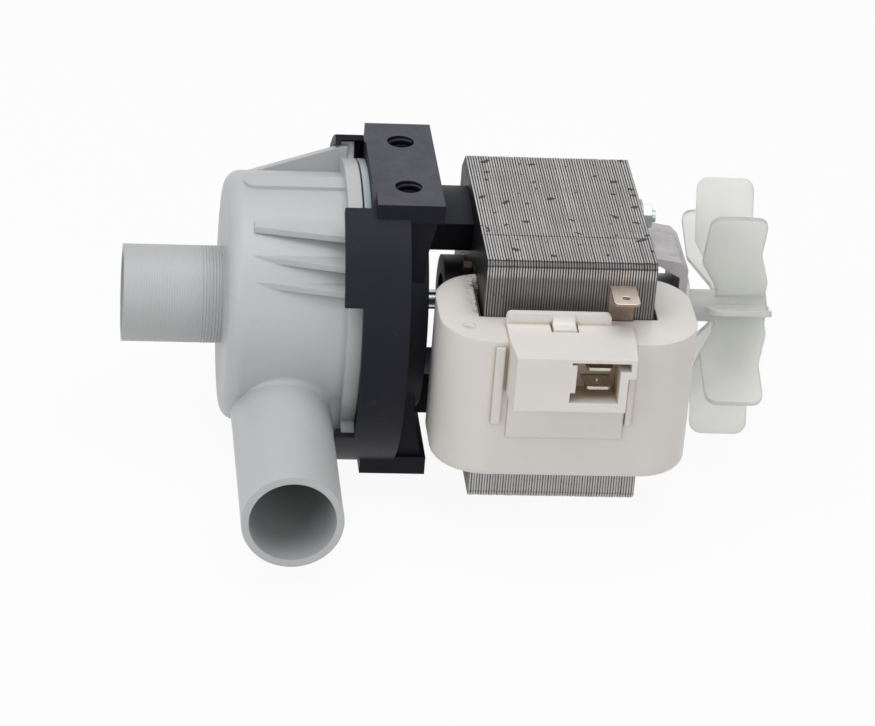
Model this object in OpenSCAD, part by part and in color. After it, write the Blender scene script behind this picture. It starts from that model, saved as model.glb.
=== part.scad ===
// Washer drain pump: a volute on a black bracket, driven by a shaded-pole motor with a cooling fan.
// Millimetres. The shaft runs along X, the inlet mouth is at the origin, +Z is up and the coil faces -Y.
// Angles round the shaft are measured from -Y towards +Z.

/* [Pump housing] */
// Outer diameter of the inlet spigot
inlet_od = 24; // [20:0.5:30]
// Length of the inlet spigot
inlet_len = 24.5; // [16:0.5:40]
// Outer diameter of the outlet spigot
outlet_od = 24.2; // [18:0.1:26]
// Distance from the shaft axis to the outlet mouth
outlet_reach = 75.5; // [60:0.5:110]
// Distance that the outlet sits past the middle of the body
outlet_offset = 0.1; // [0:0.1:1]
// Distance that the outlet hangs below the body
outlet_overhang = 1.2; // [0:0.1:2]
// Wall of both spigots
spigot_wall = 1.8; // [1.2:0.1:2.6]
// Outer diameter of the volute body
body_od = 61.6; // [58:0.2:70]
// Length of the volute body up to its flange
body_len = 28.5; // [28:0.5:40]
// Wall of the volute body
body_wall = 2; // [1.6:0.1:3]
// Rounding of the shoulder at the inlet end
body_round = 4; // [2:0.5:6]
// Thickness of the flange
flange_t = 3.5; // [3.2:0.1:6]
// Distance that the flange stands out from the body
flange_rim = 3.6; // [3:0.1:6]
// Distance that a bayonet lug stands out from the flange
lug_height = 4.1; // [3.4:0.1:5]
// Angle that one bayonet lug spans
lug_arc = 30; // [20:1:34]
// Thickness of the gussets behind the lugs
gusset_t = 1.6; // [1:0.1:2.4]

/* [Seal plate] */
// Thickness of the rim of the seal plate
seal_plate_t = 1.8; // [1.4:0.1:4]
// Gap between flange and seal plate
seal_gap = 0.4; // [0.2:0.1:0.8]
// Section diameter of the housing ring
ring_section = 2.4; // [1.8:0.1:2.8]
// Outer diameter of the shaft seal
seal_od = 13; // [11:0.5:16]
// Length of the shaft seal
seal_len = 4; // [3:0.1:5]

/* [Motor bracket] */
// Wall of the collar round the lugs
collar_wall = 1.4; // [1.2:0.1:3]
// Length of the bracket ring
bracket_len = 11.2; // [9:0.1:16]
// Thickness of the lip of a bayonet hook
hook_lip = 1.3; // [1:0.1:2]
// Angle that one bayonet hook spans
hook_arc = 36; // [35:1:44]
// Angle of the first bayonet hook
hook_angle = 42; // [38:1:46]
// Distance from the shaft axis to each mounting face
mount_height = 37; // [36:0.5:44]
// Width of the mounting plates
mount_plate_w = 45.4; // [40:0.2:48]
// Length of the mounting plates
mount_plate_len = 16.2; // [15:0.1:18]
// Thickness of the mounting plates
mount_plate_t = 4.8; // [4:0.1:6]
// Distance between the two screw holes of the upper plate
screw_pitch = 25; // [22:0.5:28]
// Distance between the two screw holes of the lower plate
lower_screw_pitch = 22; // [20:0.5:26]
// Core diameter of the screw holes
screw_core_d = 6.6; // [5:0.1:7]
// Depth of the screw holes
screw_depth = 11; // [8:0.5:12]
// Outer diameter of the drum on the motor side
drum_od = 53; // [50:0.5:56]
// Length of the drum past the bracket ring
drum_len = 5.7; // [4:0.1:9]
// Distance from the drum to the lamination stack
leg_len = 11.1; // [10.5:0.1:18]
// Angle that one leg spans
leg_arc = 44; // [34:1:50]

/* [Lamination stack] */
// Thickness of the stack along the shaft
stack_t = 40.7; // [30:0.1:55]
// Height of the stack
stack_h = 64.4; // [62:0.2:72]
// Diameter of the rotor bore
bore_d = 24; // [22:0.1:25]
// Iron behind the bore
back_bridge = 9; // [6:0.1:12]
// Width of the cut on the rear corners of the stack
core_cut = 5.4; // [2:0.1:7]
// Bevel on the front edges of the straight leg
coil_core_bevel = 1.2; // [0.4:0.1:2]
// Iron between the bore and the coil window
front_bridge = 5.6; // [4:0.1:8]
// Depth of the coil window
window_depth = 9.9; // [9:0.1:18]
// Thickness of the arms above and below the window
arm_t = 13; // [12:0.1:14]
// Depth of the straight leg that carries the coil
coil_core_d = 14.2; // [11:0.1:18]
// Gap between rotor and stator
air_gap = 0.35; // [0.3:0.01:0.5]
// Distance between the two through bolts
bolt_pitch = 49; // [47:0.2:52]
// Diameter of the through bolts
bolt_d = 3; // [2.5:0.5:4]
// Diameter of the copper wire of a shading ring
shading_wire_d = 2; // [1.2:0.1:2.2]

/* [Coil] */
// Distance that the coil cover stands out beside the stack
coil_side = 10.6; // [8:0.1:10.8]
// Distance that the coil cover stands out in front of the stack
coil_front = 12.7; // [9:0.1:16]
// Wall of the coil cover
cover_wall = 1.6; // [1.2:0.1:2.2]
// Corner radius of the coil cover seen from above
cover_corner = 12.5; // [9:0.5:14]
// Rounding of the lower edge of the coil cover
cover_round = 1.5; // [0.5:0.5:4]

/* [Connector] */
// Width of the connector housing
connector_w = 30.1; // [27:0.1:32]
// Height of the connector housing
connector_h = 14; // [13:0.2:17]
// Distance that the connector housing stands out from the coil cover
connector_d = 9.6; // [9:0.1:14]
// Width of the socket
socket_w = 14; // [13:0.1:15]
// Height of the socket
socket_h = 10.6; // [10:0.1:11]
// Width of the blade terminals
tab_w = 6.3; // [4.8:0.1:6.4]
// Thickness of the blade terminals
tab_t = 0.8; // [0.5:0.1:0.8]
// Distance between the two supply tabs
tab_pitch = 5; // [4.95:0.05:6]

/* [Rear bridge] */
// Width of the rear bridge
bridge_w = 20; // [18:0.5:24]
// Wall of the rear bridge
bridge_t = 2; // [1.6:0.1:3]
// Distance that the rear bridge stands out from the stack
bridge_rise = 13.4; // [12:0.1:18]
// Height of the arch of the rear bridge, measured from the shaft axis
bridge_half = 18.2; // [17:0.1:19]

/* [Shaft and rotor] */
// Diameter of the shaft
shaft_d = 5; // [4:0.5:6]
// Length of the end rings of the rotor
end_ring_len = 5.4; // [3:0.1:5.6]
// Number of bars in the rotor cage
cage_bars = 17; // [11:1:19]
// Diameter of the bearing bushes
bush_d = 10; // [9:0.1:11]
// Length of the bearing bushes
bush_len = 7; // [6:0.1:8]
// Diameter of the impeller
impeller_d = 46; // [36:0.5:50]
// Height of the impeller blades
impeller_h = 13; // [8:0.5:16]
// Number of impeller blades
impeller_blades = 6; // [4:1:8]

/* [Cooling fan] */
// Outer diameter of the fan
fan_od = 64; // [50:0.5:66]
// Width of a fan blade at its tip
fan_blade_w = 14.3; // [11:0.1:20]
// Thickness of a fan blade
fan_blade_t = 1.4; // [1:0.1:2]
// Number of fan blades
fan_blades = 8; // [5:1:10]
// Diameter of the fan hub
fan_hub_d = 8; // [7.5:0.1:10]
// Angle of the first fan blade
fan_angle = 24.4; // [0:0.1:45]

/* [Hidden] */
$fn = 64;

// Small values shared by many pieces: an overlap for cuts, and gaps from wide to narrow
cut = 0.1;
loose = 0.25;
slip = 0.1;
run = 0.03;
hair = 0.01;

// Radii of the pump
body_r = body_od / 2;
chamber_r = body_r - body_wall;
flange_r = body_r + flange_rim;
lug_r = flange_r + lug_height;
collar_in = lug_r + loose;
collar_r = collar_in + collar_wall;
lug_grip = 1.1;
gusset_r = lug_r - lug_grip;
groove_inset = 2.8;
groove_r = chamber_r + groove_inset;
outlet_z = -(body_r + outlet_overhang - outlet_od / 2);

// Stations along the shaft, from the inlet to the fan
body_x = inlet_len;
outlet_x = body_x + body_len / 2 + outlet_offset;
flange_x = body_x + body_len;
flange_end = flange_x + flange_t;
seal_x = flange_end + seal_gap;
seat_x = seal_x + seal_plate_t;
ring_x = flange_end - seal_gap;
ring_end = ring_x + bracket_len;
drum_end = ring_end + drum_len;
stack_x = drum_end + leg_len;
stack_end = stack_x + stack_t;
stack_mid = (stack_x + stack_end) / 2;
bridge_end = stack_end + bridge_rise;

// Shaft passages, seal and slinger
shaft_r = shaft_d / 2;
fixed_r = shaft_r + hair;
running_r = shaft_r + run;
shaft_room = 0.8;
seal_floor = 1.2;
seal_boss_len = seal_len + seal_floor;
seal_boss_wall = 2;
seal_boss_r = seal_od / 2 + seal_boss_wall;
slinger_t = 1.6;
slinger_rim = 5;
slinger_r = shaft_r + slinger_rim;
slinger_gap = 1;

// Bearing pockets, measured inwards from the mouth of the pocket
clip_t = 0.6;
felt_share = 0.55;
felt_len = felt_share * bush_len;
felt_wall = 1.2;
felt_r = bush_d / 2 + felt_wall;
pocket_r = felt_r + slip;
pocket_len = clip_t + felt_len + slip;
hub_wall = 1.5;
hub_r = pocket_r + hub_wall;
hub_len = clip_t + bush_len + hub_wall;
hub_hole_r = shaft_r + shaft_room;
rotor_play = 1;
front_mouth = drum_end + loose;
rear_mouth = stack_end + end_ring_len + rotor_play;
rear_hub_end = rear_mouth + hub_len;

// Bracket walls
seat_wall = 3.2;
drum_wall = 2.6;
drum_r = drum_od / 2;
end_wall_t = 3;
end_wall_x = front_mouth - hub_len + hub_wall / 2;
leg_wall_in = 4.3;
leg_wall_out = 2.4;
leg_in = bolt_pitch / 2 - bolt_d / 2 - leg_wall_in;
leg_out = bolt_pitch / 2 + bolt_d / 2 + leg_wall_out;
plate_setback = 0.5;
mount_plate_x = seat_x + plate_setback;
screw_x = mount_plate_x + mount_plate_len / 2;
screw_boss_wall = 2.4;
screw_boss_r = screw_core_d / 2 + screw_boss_wall;
hook_x = flange_x - slip - hook_lip;
web_t = 2.5;
web_gap = 0.75;
web_lip = 0.25;
web_in = max(screw_pitch, lower_screw_pitch) / 2 + screw_boss_r + web_gap;
web_out = min(web_in + web_t, mount_plate_w / 2 - web_lip);

// Stack, seen along the shaft
bore_r = bore_d / 2;
rotor_r = bore_r - air_gap;
core_back = bore_r + back_bridge;
pole_front = -(bore_r + front_bridge);
joint_y = pole_front - window_depth;
core_front = joint_y - coil_core_d;
half_h = stack_h / 2;
window_h = half_h - arm_t;
bolt_room = 0.15;
bolt_hole_r = bolt_d / 2 + bolt_room;
bolt_head_r = 0.9 * bolt_d;
bolt_head_h = 0.8 * bolt_d;
bolt_head_sink = 0.6;
bolt_recess = bolt_head_h + bolt_head_sink;
seat_hole_rim = 2.5;
seat_hole_r = bolt_pitch / 2 - bolt_head_r - slip - seat_hole_rim;
nut_r = 1.1 * bolt_d;
nut_h = 0.8 * bolt_d;
shading_r = shading_wire_d / 2;
shading_wall = 0.9;
shading_in = bore_r + shading_r + shading_wall;
shading_spread = 8;
shading_angle = 50;

// Coil, from the core outwards: the cover hangs a little lower than the shaft
window_room = 2.4;
cover_gap = 0.45;
cover_drop = 0.5;
cover_half_x = stack_t / 2 + coil_side;
cover_half_z = window_h - cover_gap - cover_drop;
cover_front = core_front - coil_front;
cover_back = pole_front - window_room;
cover_top = cover_half_z - cover_drop;
opening_gap = 1.1;
opening_ledge = 0.9;
earth_room = tab_t + 2 * slip;
opening_front = core_front - earth_room - opening_gap;
rim_front = core_front - 2 * slip;
opening_back = joint_y + opening_gap + opening_ledge;
bobbin_wall = 1.2;
bobbin_in_front = core_front - earth_room;
bobbin_in_back = joint_y + loose;
bobbin_in_x = stack_t / 2 + loose;
bobbin_flange = 1.3;
bobbin_half_z = cover_half_z - cover_wall - slip;
winding_room = 0.5;

// Connector
lip_t = 0.9;
connector_shift = -0.45;
connector_taper = 0.9;
connector_low = stack_mid + connector_shift - connector_w / 2;
connector_high = stack_mid + connector_shift + connector_w / 2;
connector_top = cover_top + lip_t;
connector_bottom = connector_top - connector_h;
connector_front = cover_front - connector_d;
shelf_h = 5.05;
shelf_w = 1.75;
shelf_z = connector_top - shelf_h;
socket_wall = 1;
socket_floor = 1.2;
socket_side = 2.2;
socket_depth = connector_d - socket_floor;
socket_x = connector_high - socket_side - socket_w / 2;
socket_top = connector_top - socket_wall;
socket_mid = socket_top - socket_h / 2;
tab_recess = 2.4;
key_w = 1.2;
key_drop = 0.6;
far_key_w = 2.45;
far_key_drop = 2.15;
back_lip_w = 25;
back_lip_h = 2.8;
back_lip_t = 1.4;
back_lip_y = opening_front - 2 * back_lip_t;
latch_w = 5.6;
latch_len = 4;
latch_rise = 0.5;
latch_from = 10.8;
slit_w = 0.45;
rib_w = 2.2;
far_rib_w = 1.5;
rib_t = 1;
rib_gap = 0.8;
rib_drop = 1.3;
rib_past = 8.6;
pad_t = 0.5;
pad_h = 12.4;
pad_short = 1.3;
earth_offset = 12.2;
earth_x = stack_mid + earth_offset;
earth_rise = 9;
earth_top = cover_top + earth_rise;
earth_blade = 9.5;

// Fan
fan_r = fan_od / 2;
fan_gap = 0.6;
fan_collar = 1.4;
fan_hub_x = rear_hub_end + fan_gap;
fan_x = fan_hub_x + fan_collar;
fan_end = fan_x + fan_blade_w;
fan_flare = 3;
fan_nub = 0.6;
fan_nose = fan_end + fan_flare + fan_nub;
fan_round = 3;
shaft_start = flange_x - impeller_h + rotor_play;
shaft_end = fan_end;

// A solid of revolution about the shaft: the outline holds radius and place along X
module turned(from_x = 0) {
    translate([from_x, 0, 0])
        rotate([0, 90, 0])
            rotate_extrude()
                children();
}

// Part of a solid of revolution, between two angles
module turned_arc(from_x, start_angle, end_angle) {
    translate([from_x, 0, 0])
        rotate([0, 90, 0])
            rotate([0, 0, 270 - end_angle])
                rotate_extrude(angle = end_angle - start_angle)
                    children();
}

// A round bar along X
module bar_x(from_x, to_x, radius) {
    translate([from_x, 0, 0])
        rotate([0, 90, 0])
            cylinder(h = to_x - from_x, r = radius);
}

// A tube along X
module tube_x(from_x, to_x, outer_r, inner_r) {
    difference() {
        bar_x(from_x, to_x, outer_r);
        bar_x(from_x - cut, to_x + cut, inner_r);
    }
}

// A block given by its lowest and highest corners
module block(low, high) {
    translate(low)
        cube(high - low);
}

// Copies above and below the shaft
module above_and_below() {
    children();
    mirror([0, 0, 1])
        children();
}

// Copies at both ends of the bolt circle
module at_bolts() {
    for (side = [-1, 1])
        translate([0, 0, side * bolt_pitch / 2])
            children();
}

// A quarter-turn pattern round the shaft
module four_times() {
    for (turn = [0 : 90 : 270])
        rotate([-turn, 0, 0])
            children();
}

// A rectangle with round corners, drawn from circles and squares
module round_rect(low, high, radius) {
    for (x = [low[0] + radius, high[0] - radius])
        for (y = [low[1] + radius, high[1] - radius])
            translate([x, y])
                circle(r = radius);
    translate([low[0] + radius, low[1]])
        square([high[0] - low[0] - 2 * radius, high[1] - low[1]]);
    translate([low[0], low[1] + radius])
        square([high[0] - low[0], high[1] - low[1] - 2 * radius]);
}

// Outline of the volute: a drum with a round shoulder
module drum_outline(radius, length, rounding) {
    square([radius - rounding, length]);
    translate([0, rounding])
        square([radius, length - rounding]);
    translate([radius - rounding, rounding])
        circle(r = rounding);
}

// One gusset between the body and a lug: its height above the shaft, its first step and its reach
module gusset(height, step, reach) {
    end_room = 6;
    start_x = body_x + end_room;
    inside = sqrt(pow(body_r - body_wall / 2, 2) - height * height);
    outside = sqrt(reach * reach - height * height);
    translate([0, 0, height - gusset_t / 2])
        linear_extrude(gusset_t)
            polygon([
                [start_x, -inside],
                [start_x, -inside - step],
                [flange_x, -outside],
                [flange_x + flange_t / 2, -outside],
                [flange_x + flange_t / 2, -inside]
            ]);
}

// One bayonet lug
module lug() {
    lug_root = 0.8;
    turned_arc(flange_x + slip, hook_angle - lug_arc / 2, hook_angle + lug_arc / 2)
        translate([flange_r - lug_root, 0])
            square([lug_r - flange_r + lug_root, flange_t - 2 * slip]);
}

module pump_housing() {
    rib_half = 3;
    rib_rise = 0.8;
    rib_room = 7;
    rib_len = body_len - rib_room;
    gusset_places = [0.868, 0.692, 0.53];
    blunt_steps = [4, 0.9, 0.7];
    thin_step = 1;
    root_rise = 0.5;
    root_past = 0.2;
    color("gainsboro")
        difference() {
            union() {
                turned(body_x) drum_outline(body_r, body_len, body_round);
                bar_x(0, body_x + body_round, inlet_od / 2);
                bar_x(flange_x, flange_end, flange_r);
                four_times() lug();
                for (index = [0 : len(gusset_places) - 1])
                    for (turn = [0, 180]) {
                        height = gusset_places[index] * body_r;
                        rotate([turn, 0, 0]) gusset(height, blunt_steps[index], flange_r);
                        rotate([turn - 90, 0, 0]) gusset(height, thin_step, gusset_r);
                    }
                translate([outlet_x, 0, outlet_z])
                    rotate([90, 0, 0])
                        rotate_extrude()
                            polygon([
                                [0, 0],
                                [outlet_od / 2 + root_rise, 0],
                                [outlet_od / 2, body_r + root_past],
                                [outlet_od / 2, outlet_reach],
                                [0, outlet_reach]
                            ]);
                translate([flange_x - rib_len, -rib_half, 0])
                    cube([rib_len, 2 * rib_half, body_r + rib_rise]);
                translate([flange_x - rib_len, 0, 0])
                    cylinder(h = body_r + rib_rise, r = rib_half);
            }
            bar_x(-cut, body_x + body_round, inlet_od / 2 - spigot_wall);
            turned(body_x + body_wall)
                drum_outline(chamber_r, body_len + flange_t, max(body_round - body_wall, loose));
            translate([outlet_x, 0, outlet_z])
                rotate([90, 0, 0])
                    cylinder(h = outlet_reach + cut, r = outlet_od / 2 - spigot_wall);
            turned(flange_end - ring_section + seal_gap)
                translate([groove_r - ring_section / 2 - slip, 0])
                    square([ring_section + 2 * slip, ring_section]);
        }
}

module seal_plate() {
    register_len = 1.6;
    color("azure")
        difference() {
            union() {
                bar_x(seal_x, seat_x, flange_r);
                bar_x(seal_x - register_len, seal_x + cut, chamber_r - slip);
                bar_x(seat_x - seal_boss_len, seat_x, seal_boss_r);
            }
            bar_x(seat_x - seal_len, seat_x + cut, seal_od / 2);
            bar_x(seat_x - seal_boss_len - cut, seat_x, hub_hole_r);
        }
}

module housing_o_ring() {
    color("black")
        turned(seal_x - ring_section / 2)
            translate([groove_r, 0])
                circle(r = ring_section / 2);
}

module shaft_seal() {
    lip_len = 1.8;
    lip_room = 1.2;
    color("dimgray")
        turned(seat_x - seal_len)
            difference() {
                translate([running_r, 0])
                    square([seal_od / 2 - running_r, seal_len]);
                translate([shaft_r, lip_len])
                    square([lip_room, seal_len]);
            }
}

// Outline of the bracket ring: seat, rim, collar and the lip of the hooks
module ring_outline() {
    polygon([
        [gusset_r + loose, hook_x],
        [collar_r, hook_x],
        [collar_r, ring_end],
        [collar_r - drum_wall, ring_end],
        [collar_r - drum_wall, seat_x + seat_wall],
        [seat_hole_r, seat_x + seat_wall],
        [seat_hole_r, seat_x],
        [collar_in, seat_x],
        [collar_in, hook_x + hook_lip],
        [gusset_r + loose, hook_x + hook_lip]
    ]);
}

// One gap between two hooks, cut down to a given place
module hook_gap(end_x) {
    turned_arc(hook_x - cut, hook_angle + hook_arc / 2, hook_angle + 90 - hook_arc / 2)
        translate([gusset_r, 0])
            square([collar_r + loose - gusset_r, end_x - hook_x + cut]);
}

// The bracket ring: four hooks on two lengths of collar, with a flat above and below
module bracket_ring() {
    rim_step = 0.4;
    difference() {
        turned() ring_outline();
        for (turn = [0, 180]) {
            rotate([turn, 0, 0]) hook_gap(seat_x - rim_step);
            rotate([turn + 90, 0, 0]) hook_gap(ring_x);
        }
        above_and_below()
            block([hook_x - cut, -collar_r, mount_height], [ring_end + cut, collar_r, mount_height + collar_r]);
    }
}

// One mounting plate with its webs and its screw bosses, at a given distance
module mounting_plate(pitch) {
    under = mount_height - mount_plate_t;
    root = drum_r / 2;
    web_back = ring_end - web_t;
    web_low = 0.82 * drum_r;
    web_inset = 1.2;
    block([mount_plate_x, -mount_plate_w / 2, under],
        [mount_plate_x + mount_plate_len, mount_plate_w / 2, mount_height]);
    for (side = [-1, 1]) {
        translate([screw_x, side * pitch / 2, root])
            cylinder(h = mount_height - cut - root, r = screw_boss_r);
        translate([0, (side * (web_out + web_in) + web_out - web_in) / 2, 0])
            rotate([90, 0, 0])
                linear_extrude(web_out - web_in)
                    polygon([
                        [web_back, root],
                        [web_back, under + cut],
                        [mount_plate_x + mount_plate_len - web_inset, under + cut],
                        [drum_end - web_inset, web_low],
                        [drum_end - web_inset, root]
                    ]);
    }
}

// The two screw holes of a plate
module screw_holes(pitch) {
    for (side = [-1, 1])
        translate([screw_x, side * pitch / 2, mount_height - screw_depth])
            cylinder(h = screw_depth + cut, r = screw_core_d / 2);
}

module motor_bracket() {
    color([0.17, 0.17, 0.19])
        difference() {
            union() {
                bracket_ring();
                tube_x(seat_x + seat_wall / 2, drum_end, drum_r, drum_r - drum_wall);
                bar_x(end_wall_x, end_wall_x + end_wall_t, drum_r - cut);
                bar_x(front_mouth - hub_len, front_mouth, hub_r);
                mounting_plate(screw_pitch);
                mirror([0, 0, 1])
                    mounting_plate(lower_screw_pitch);
                above_and_below() {
                    turned_arc(seat_x + seat_wall / 2, 90 - leg_arc / 2, 90 + leg_arc / 2)
                        translate([leg_in, 0])
                            square([leg_out - leg_in, stack_x - seat_x - seat_wall / 2]);
                }
            }
            bar_x(front_mouth - pocket_len, front_mouth + cut, pocket_r);
            bar_x(front_mouth - clip_t - bush_len, front_mouth, bush_d / 2);
            bar_x(front_mouth - hub_len - cut, front_mouth, hub_hole_r);
            at_bolts() {
                bar_x(seat_x - cut, stack_x + cut, bolt_hole_r);
                bar_x(seat_x - cut, seat_x + bolt_recess, bolt_head_r + slip);
            }
            screw_holes(screw_pitch);
            mirror([0, 0, 1])
                screw_holes(lower_screw_pitch);
        }
}

// A bearing bush, a felt ring and a clip: to_fan is 1 where the pocket runs towards the fan
module bush(mouth, to_fan) {
    near = mouth + to_fan * clip_t;
    far = near + to_fan * bush_len;
    tube_x(min(near, far), max(near, far), bush_d / 2, running_r);
}

module felt(mouth, to_fan) {
    near = mouth + to_fan * clip_t;
    far = near + to_fan * felt_len;
    tube_x(min(near, far), max(near, far), felt_r, bush_d / 2 + slip);
}

module clip(mouth, to_fan) {
    far = mouth + to_fan * clip_t;
    tube_x(min(mouth, far), max(mouth, far), felt_r, hub_hole_r);
}

module front_bearing() {
    color("peru") bush(front_mouth, -1);
}

module front_felt_ring() {
    color("tan") felt(front_mouth, -1);
}

module front_bearing_clip() {
    color("silver") clip(front_mouth, -1);
}

module rear_bearing() {
    color("peru") bush(rear_mouth, 1);
}

module rear_felt_ring() {
    color("tan") felt(rear_mouth, 1);
}

module rear_bearing_clip() {
    color("silver") clip(rear_mouth, 1);
}

// Places of the two straight runs of a shading ring
function shading_places(side) = [
    [-side * shading_in * cos(shading_angle), side * shading_in * sin(shading_angle)],
    [-side * (shading_in + shading_spread) * cos(shading_angle),
        side * (shading_in + shading_spread) * sin(shading_angle)]
];

module stator_core() {
    color("darkgray")
        difference() {
            translate([stack_x, 0, 0])
                rotate([90, 0, 90])
                    linear_extrude(stack_t)
                        polygon([
                            [joint_y, -half_h],
                            [core_back - core_cut, -half_h],
                            [core_back, core_cut - half_h],
                            [core_back, half_h - core_cut],
                            [core_back - core_cut, half_h],
                            [joint_y, half_h]
                        ]);
            block([stack_x - cut, joint_y - cut, -window_h], [stack_end + cut, pole_front, window_h]);
            bar_x(stack_x - cut, stack_end + cut, bore_r);
            at_bolts() bar_x(stack_x - cut, stack_end + cut, bolt_hole_r);
            for (side = [-1, 1])
                for (place = shading_places(side))
                    translate([0, place[0], place[1]])
                        bar_x(stack_x - cut, stack_end + cut, shading_r + slip);
        }
}

module coil_core() {
    color("gray")
        translate([stack_x, 0, 0])
            rotate([90, 0, 90])
                linear_extrude(stack_t)
                    polygon([
                        [core_front + coil_core_bevel, -half_h],
                        [joint_y, -half_h],
                        [joint_y, half_h],
                        [core_front + coil_core_bevel, half_h],
                        [core_front, half_h - coil_core_bevel],
                        [core_front, coil_core_bevel - half_h]
                    ]);
}

module shading_rings() {
    past = 0.3;
    strap_t = 0.9 * shading_wire_d;
    color("chocolate")
        for (side = [-1, 1]) {
            places = shading_places(side);
            for (place = places)
                translate([0, place[0], place[1]])
                    bar_x(stack_x - past - shading_wire_d, stack_end + past + shading_wire_d, shading_r);
            for (end = [stack_x - past - shading_wire_d, stack_end + past])
                translate([end, places[0][0], places[0][1]])
                    rotate([side > 0 ? 180 - shading_angle : -shading_angle, 0, 0])
                        translate([0, -shading_r, -strap_t / 2])
                            cube([shading_wire_d, shading_spread + shading_wire_d, strap_t]);
        }
}

module coil_bobbin() {
    side_x = cover_half_x - cover_wall - slip;
    low_y = cover_front + cover_wall + slip;
    high_y = cover_back - cover_wall - slip;
    color("beige")
        translate([stack_mid, 0, -cover_drop])
            difference() {
                union() {
                    for (level = [-bobbin_half_z, bobbin_half_z - bobbin_flange])
                        translate([0, 0, level])
                            linear_extrude(bobbin_flange)
                                round_rect([-side_x, low_y], [side_x, high_y], cover_corner - cover_wall);
                    block([-bobbin_in_x - bobbin_wall, bobbin_in_front - bobbin_wall, -bobbin_half_z],
                        [bobbin_in_x + bobbin_wall, bobbin_in_back + bobbin_wall, bobbin_half_z]);
                }
                block([-bobbin_in_x, bobbin_in_front, -half_h], [bobbin_in_x, bobbin_in_back, half_h]);
            }
}

module coil_winding() {
    half_z = bobbin_half_z - bobbin_flange - slip;
    side_x = bobbin_in_x + bobbin_wall + slip;
    low_y = bobbin_in_front - bobbin_wall - slip;
    high_y = bobbin_in_back + bobbin_wall + slip;
    depth = cover_back - cover_wall - winding_room - high_y;
    color("chocolate")
        translate([stack_mid, 0, -half_z - cover_drop])
            linear_extrude(2 * half_z)
                difference() {
                    intersection() {
                        round_rect([-side_x - depth, low_y - depth], [side_x + depth, high_y + depth], depth);
                        cover_outline(cover_wall + winding_room);
                    }
                    translate([-side_x, low_y])
                        square([2 * side_x, high_y - low_y]);
                }
}

// The outside of the coil cover, inset all round
module cover_outline(inset) {
    round_rect([-cover_half_x + inset, cover_front + inset], [cover_half_x - inset, cover_back - inset],
        cover_corner - inset);
}

// Both slots that the supply tabs pass through
module tab_slots(from_y, to_y) {
    for (side = [-1, 1])
        translate([socket_x, 0, socket_mid + side * tab_pitch / 2])
            block([-tab_w / 2 - slip, from_y, -tab_t / 2 - slip], [tab_w / 2 + slip, to_y, tab_t / 2 + slip]);
}

module coil_cover() {
    round_steps = 5;
    round_parts = 32;
    rib_high = connector_low - rib_gap;
    far_rib_low = connector_high - shelf_w + rib_gap;
    rib_bottom = connector_bottom - rib_past;
    color("ivory")
        difference() {
            union() {
                translate([stack_mid, 0, cover_round - cover_half_z - cover_drop])
                    linear_extrude(2 * cover_half_z - cover_round)
                        cover_outline(0);
                translate([stack_mid, 0, -cover_half_z - cover_drop])
                    hull()
                        for (step = [0 : round_steps]) {
                            angle = 90 * step / round_steps;
                            translate([0, 0, cover_round * (1 - sin(angle))])
                                linear_extrude(hair, $fn = round_parts)
                                    cover_outline(cover_round * (1 - cos(angle)));
                        }
                block([rib_high - rib_w, cover_front - rib_t, rib_bottom],
                    [rib_high, cover_front + cut, cover_top - rib_drop]);
                block([far_rib_low, cover_front - rib_t, rib_bottom],
                    [far_rib_low + far_rib_w, cover_front + cut, shelf_z - slip]);
                block([connector_low + connector_taper, cover_front - pad_t, connector_bottom - pad_h],
                    [connector_high - pad_short, cover_front + cut, connector_bottom - slip]);
            }
            translate([stack_mid, 0, cover_wall - cover_half_z - cover_drop])
                linear_extrude(2 * (cover_half_z - cover_wall))
                    cover_outline(cover_wall);
            block([stack_mid - stack_t / 2 - opening_gap, rim_front, -half_h],
                [stack_mid + stack_t / 2 + opening_gap, opening_back, half_h]);
            block([earth_x - tab_w / 2 - slip, core_front - earth_room, -half_h],
                [earth_x + tab_w / 2 + slip, core_front, half_h]);
            tab_slots(cover_front - cut, cover_front + cover_wall + cut);
        }
}

// The connector seen from above, drawn in on the side away from the pump
module connector_outline(inset) {
    polygon([
        [connector_low, cover_front],
        [connector_high - inset, cover_front],
        [connector_high - inset - connector_taper, connector_front],
        [connector_low + connector_taper, connector_front]
    ]);
}

module connector_housing() {
    latch_x = connector_low + latch_from;
    socket_high = socket_x + socket_w / 2;
    color("white")
        difference() {
            union() {
                translate([0, 0, connector_bottom])
                    linear_extrude(connector_h)
                        connector_outline(shelf_w);
                translate([0, 0, shelf_z])
                    linear_extrude(shelf_h)
                        connector_outline(0);
                block([connector_low, cover_front - cut, cover_top],
                    [connector_high, back_lip_y, connector_top]);
                block([connector_low, back_lip_y - cut, cover_top],
                    [connector_low + back_lip_w, back_lip_y + back_lip_t, connector_top + back_lip_h]);
                block([latch_x, back_lip_y - latch_len, connector_top - cut],
                    [latch_x + latch_w, back_lip_y, connector_top + latch_rise]);
            }
            difference() {
                block([socket_x - socket_w / 2, connector_front - cut, socket_top - socket_h],
                    [socket_x + socket_w / 2, connector_front + socket_depth, socket_top]);
                block([socket_x - socket_w / 2 - cut, connector_front, socket_mid - socket_h / 4],
                    [socket_x - socket_w / 2 + key_w, cover_front, socket_top - key_drop]);
                block([socket_high - far_key_w, connector_front, connector_bottom],
                    [socket_high + cut, cover_front, socket_top - far_key_drop]);
            }
            for (slit_x = [latch_x - slit_w, latch_x + latch_w])
                block([slit_x, back_lip_y - latch_len, cover_top - cut],
                    [slit_x + slit_w, back_lip_y, connector_top + latch_rise]);
            tab_slots(connector_front, cover_front + cut);
        }
}

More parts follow.
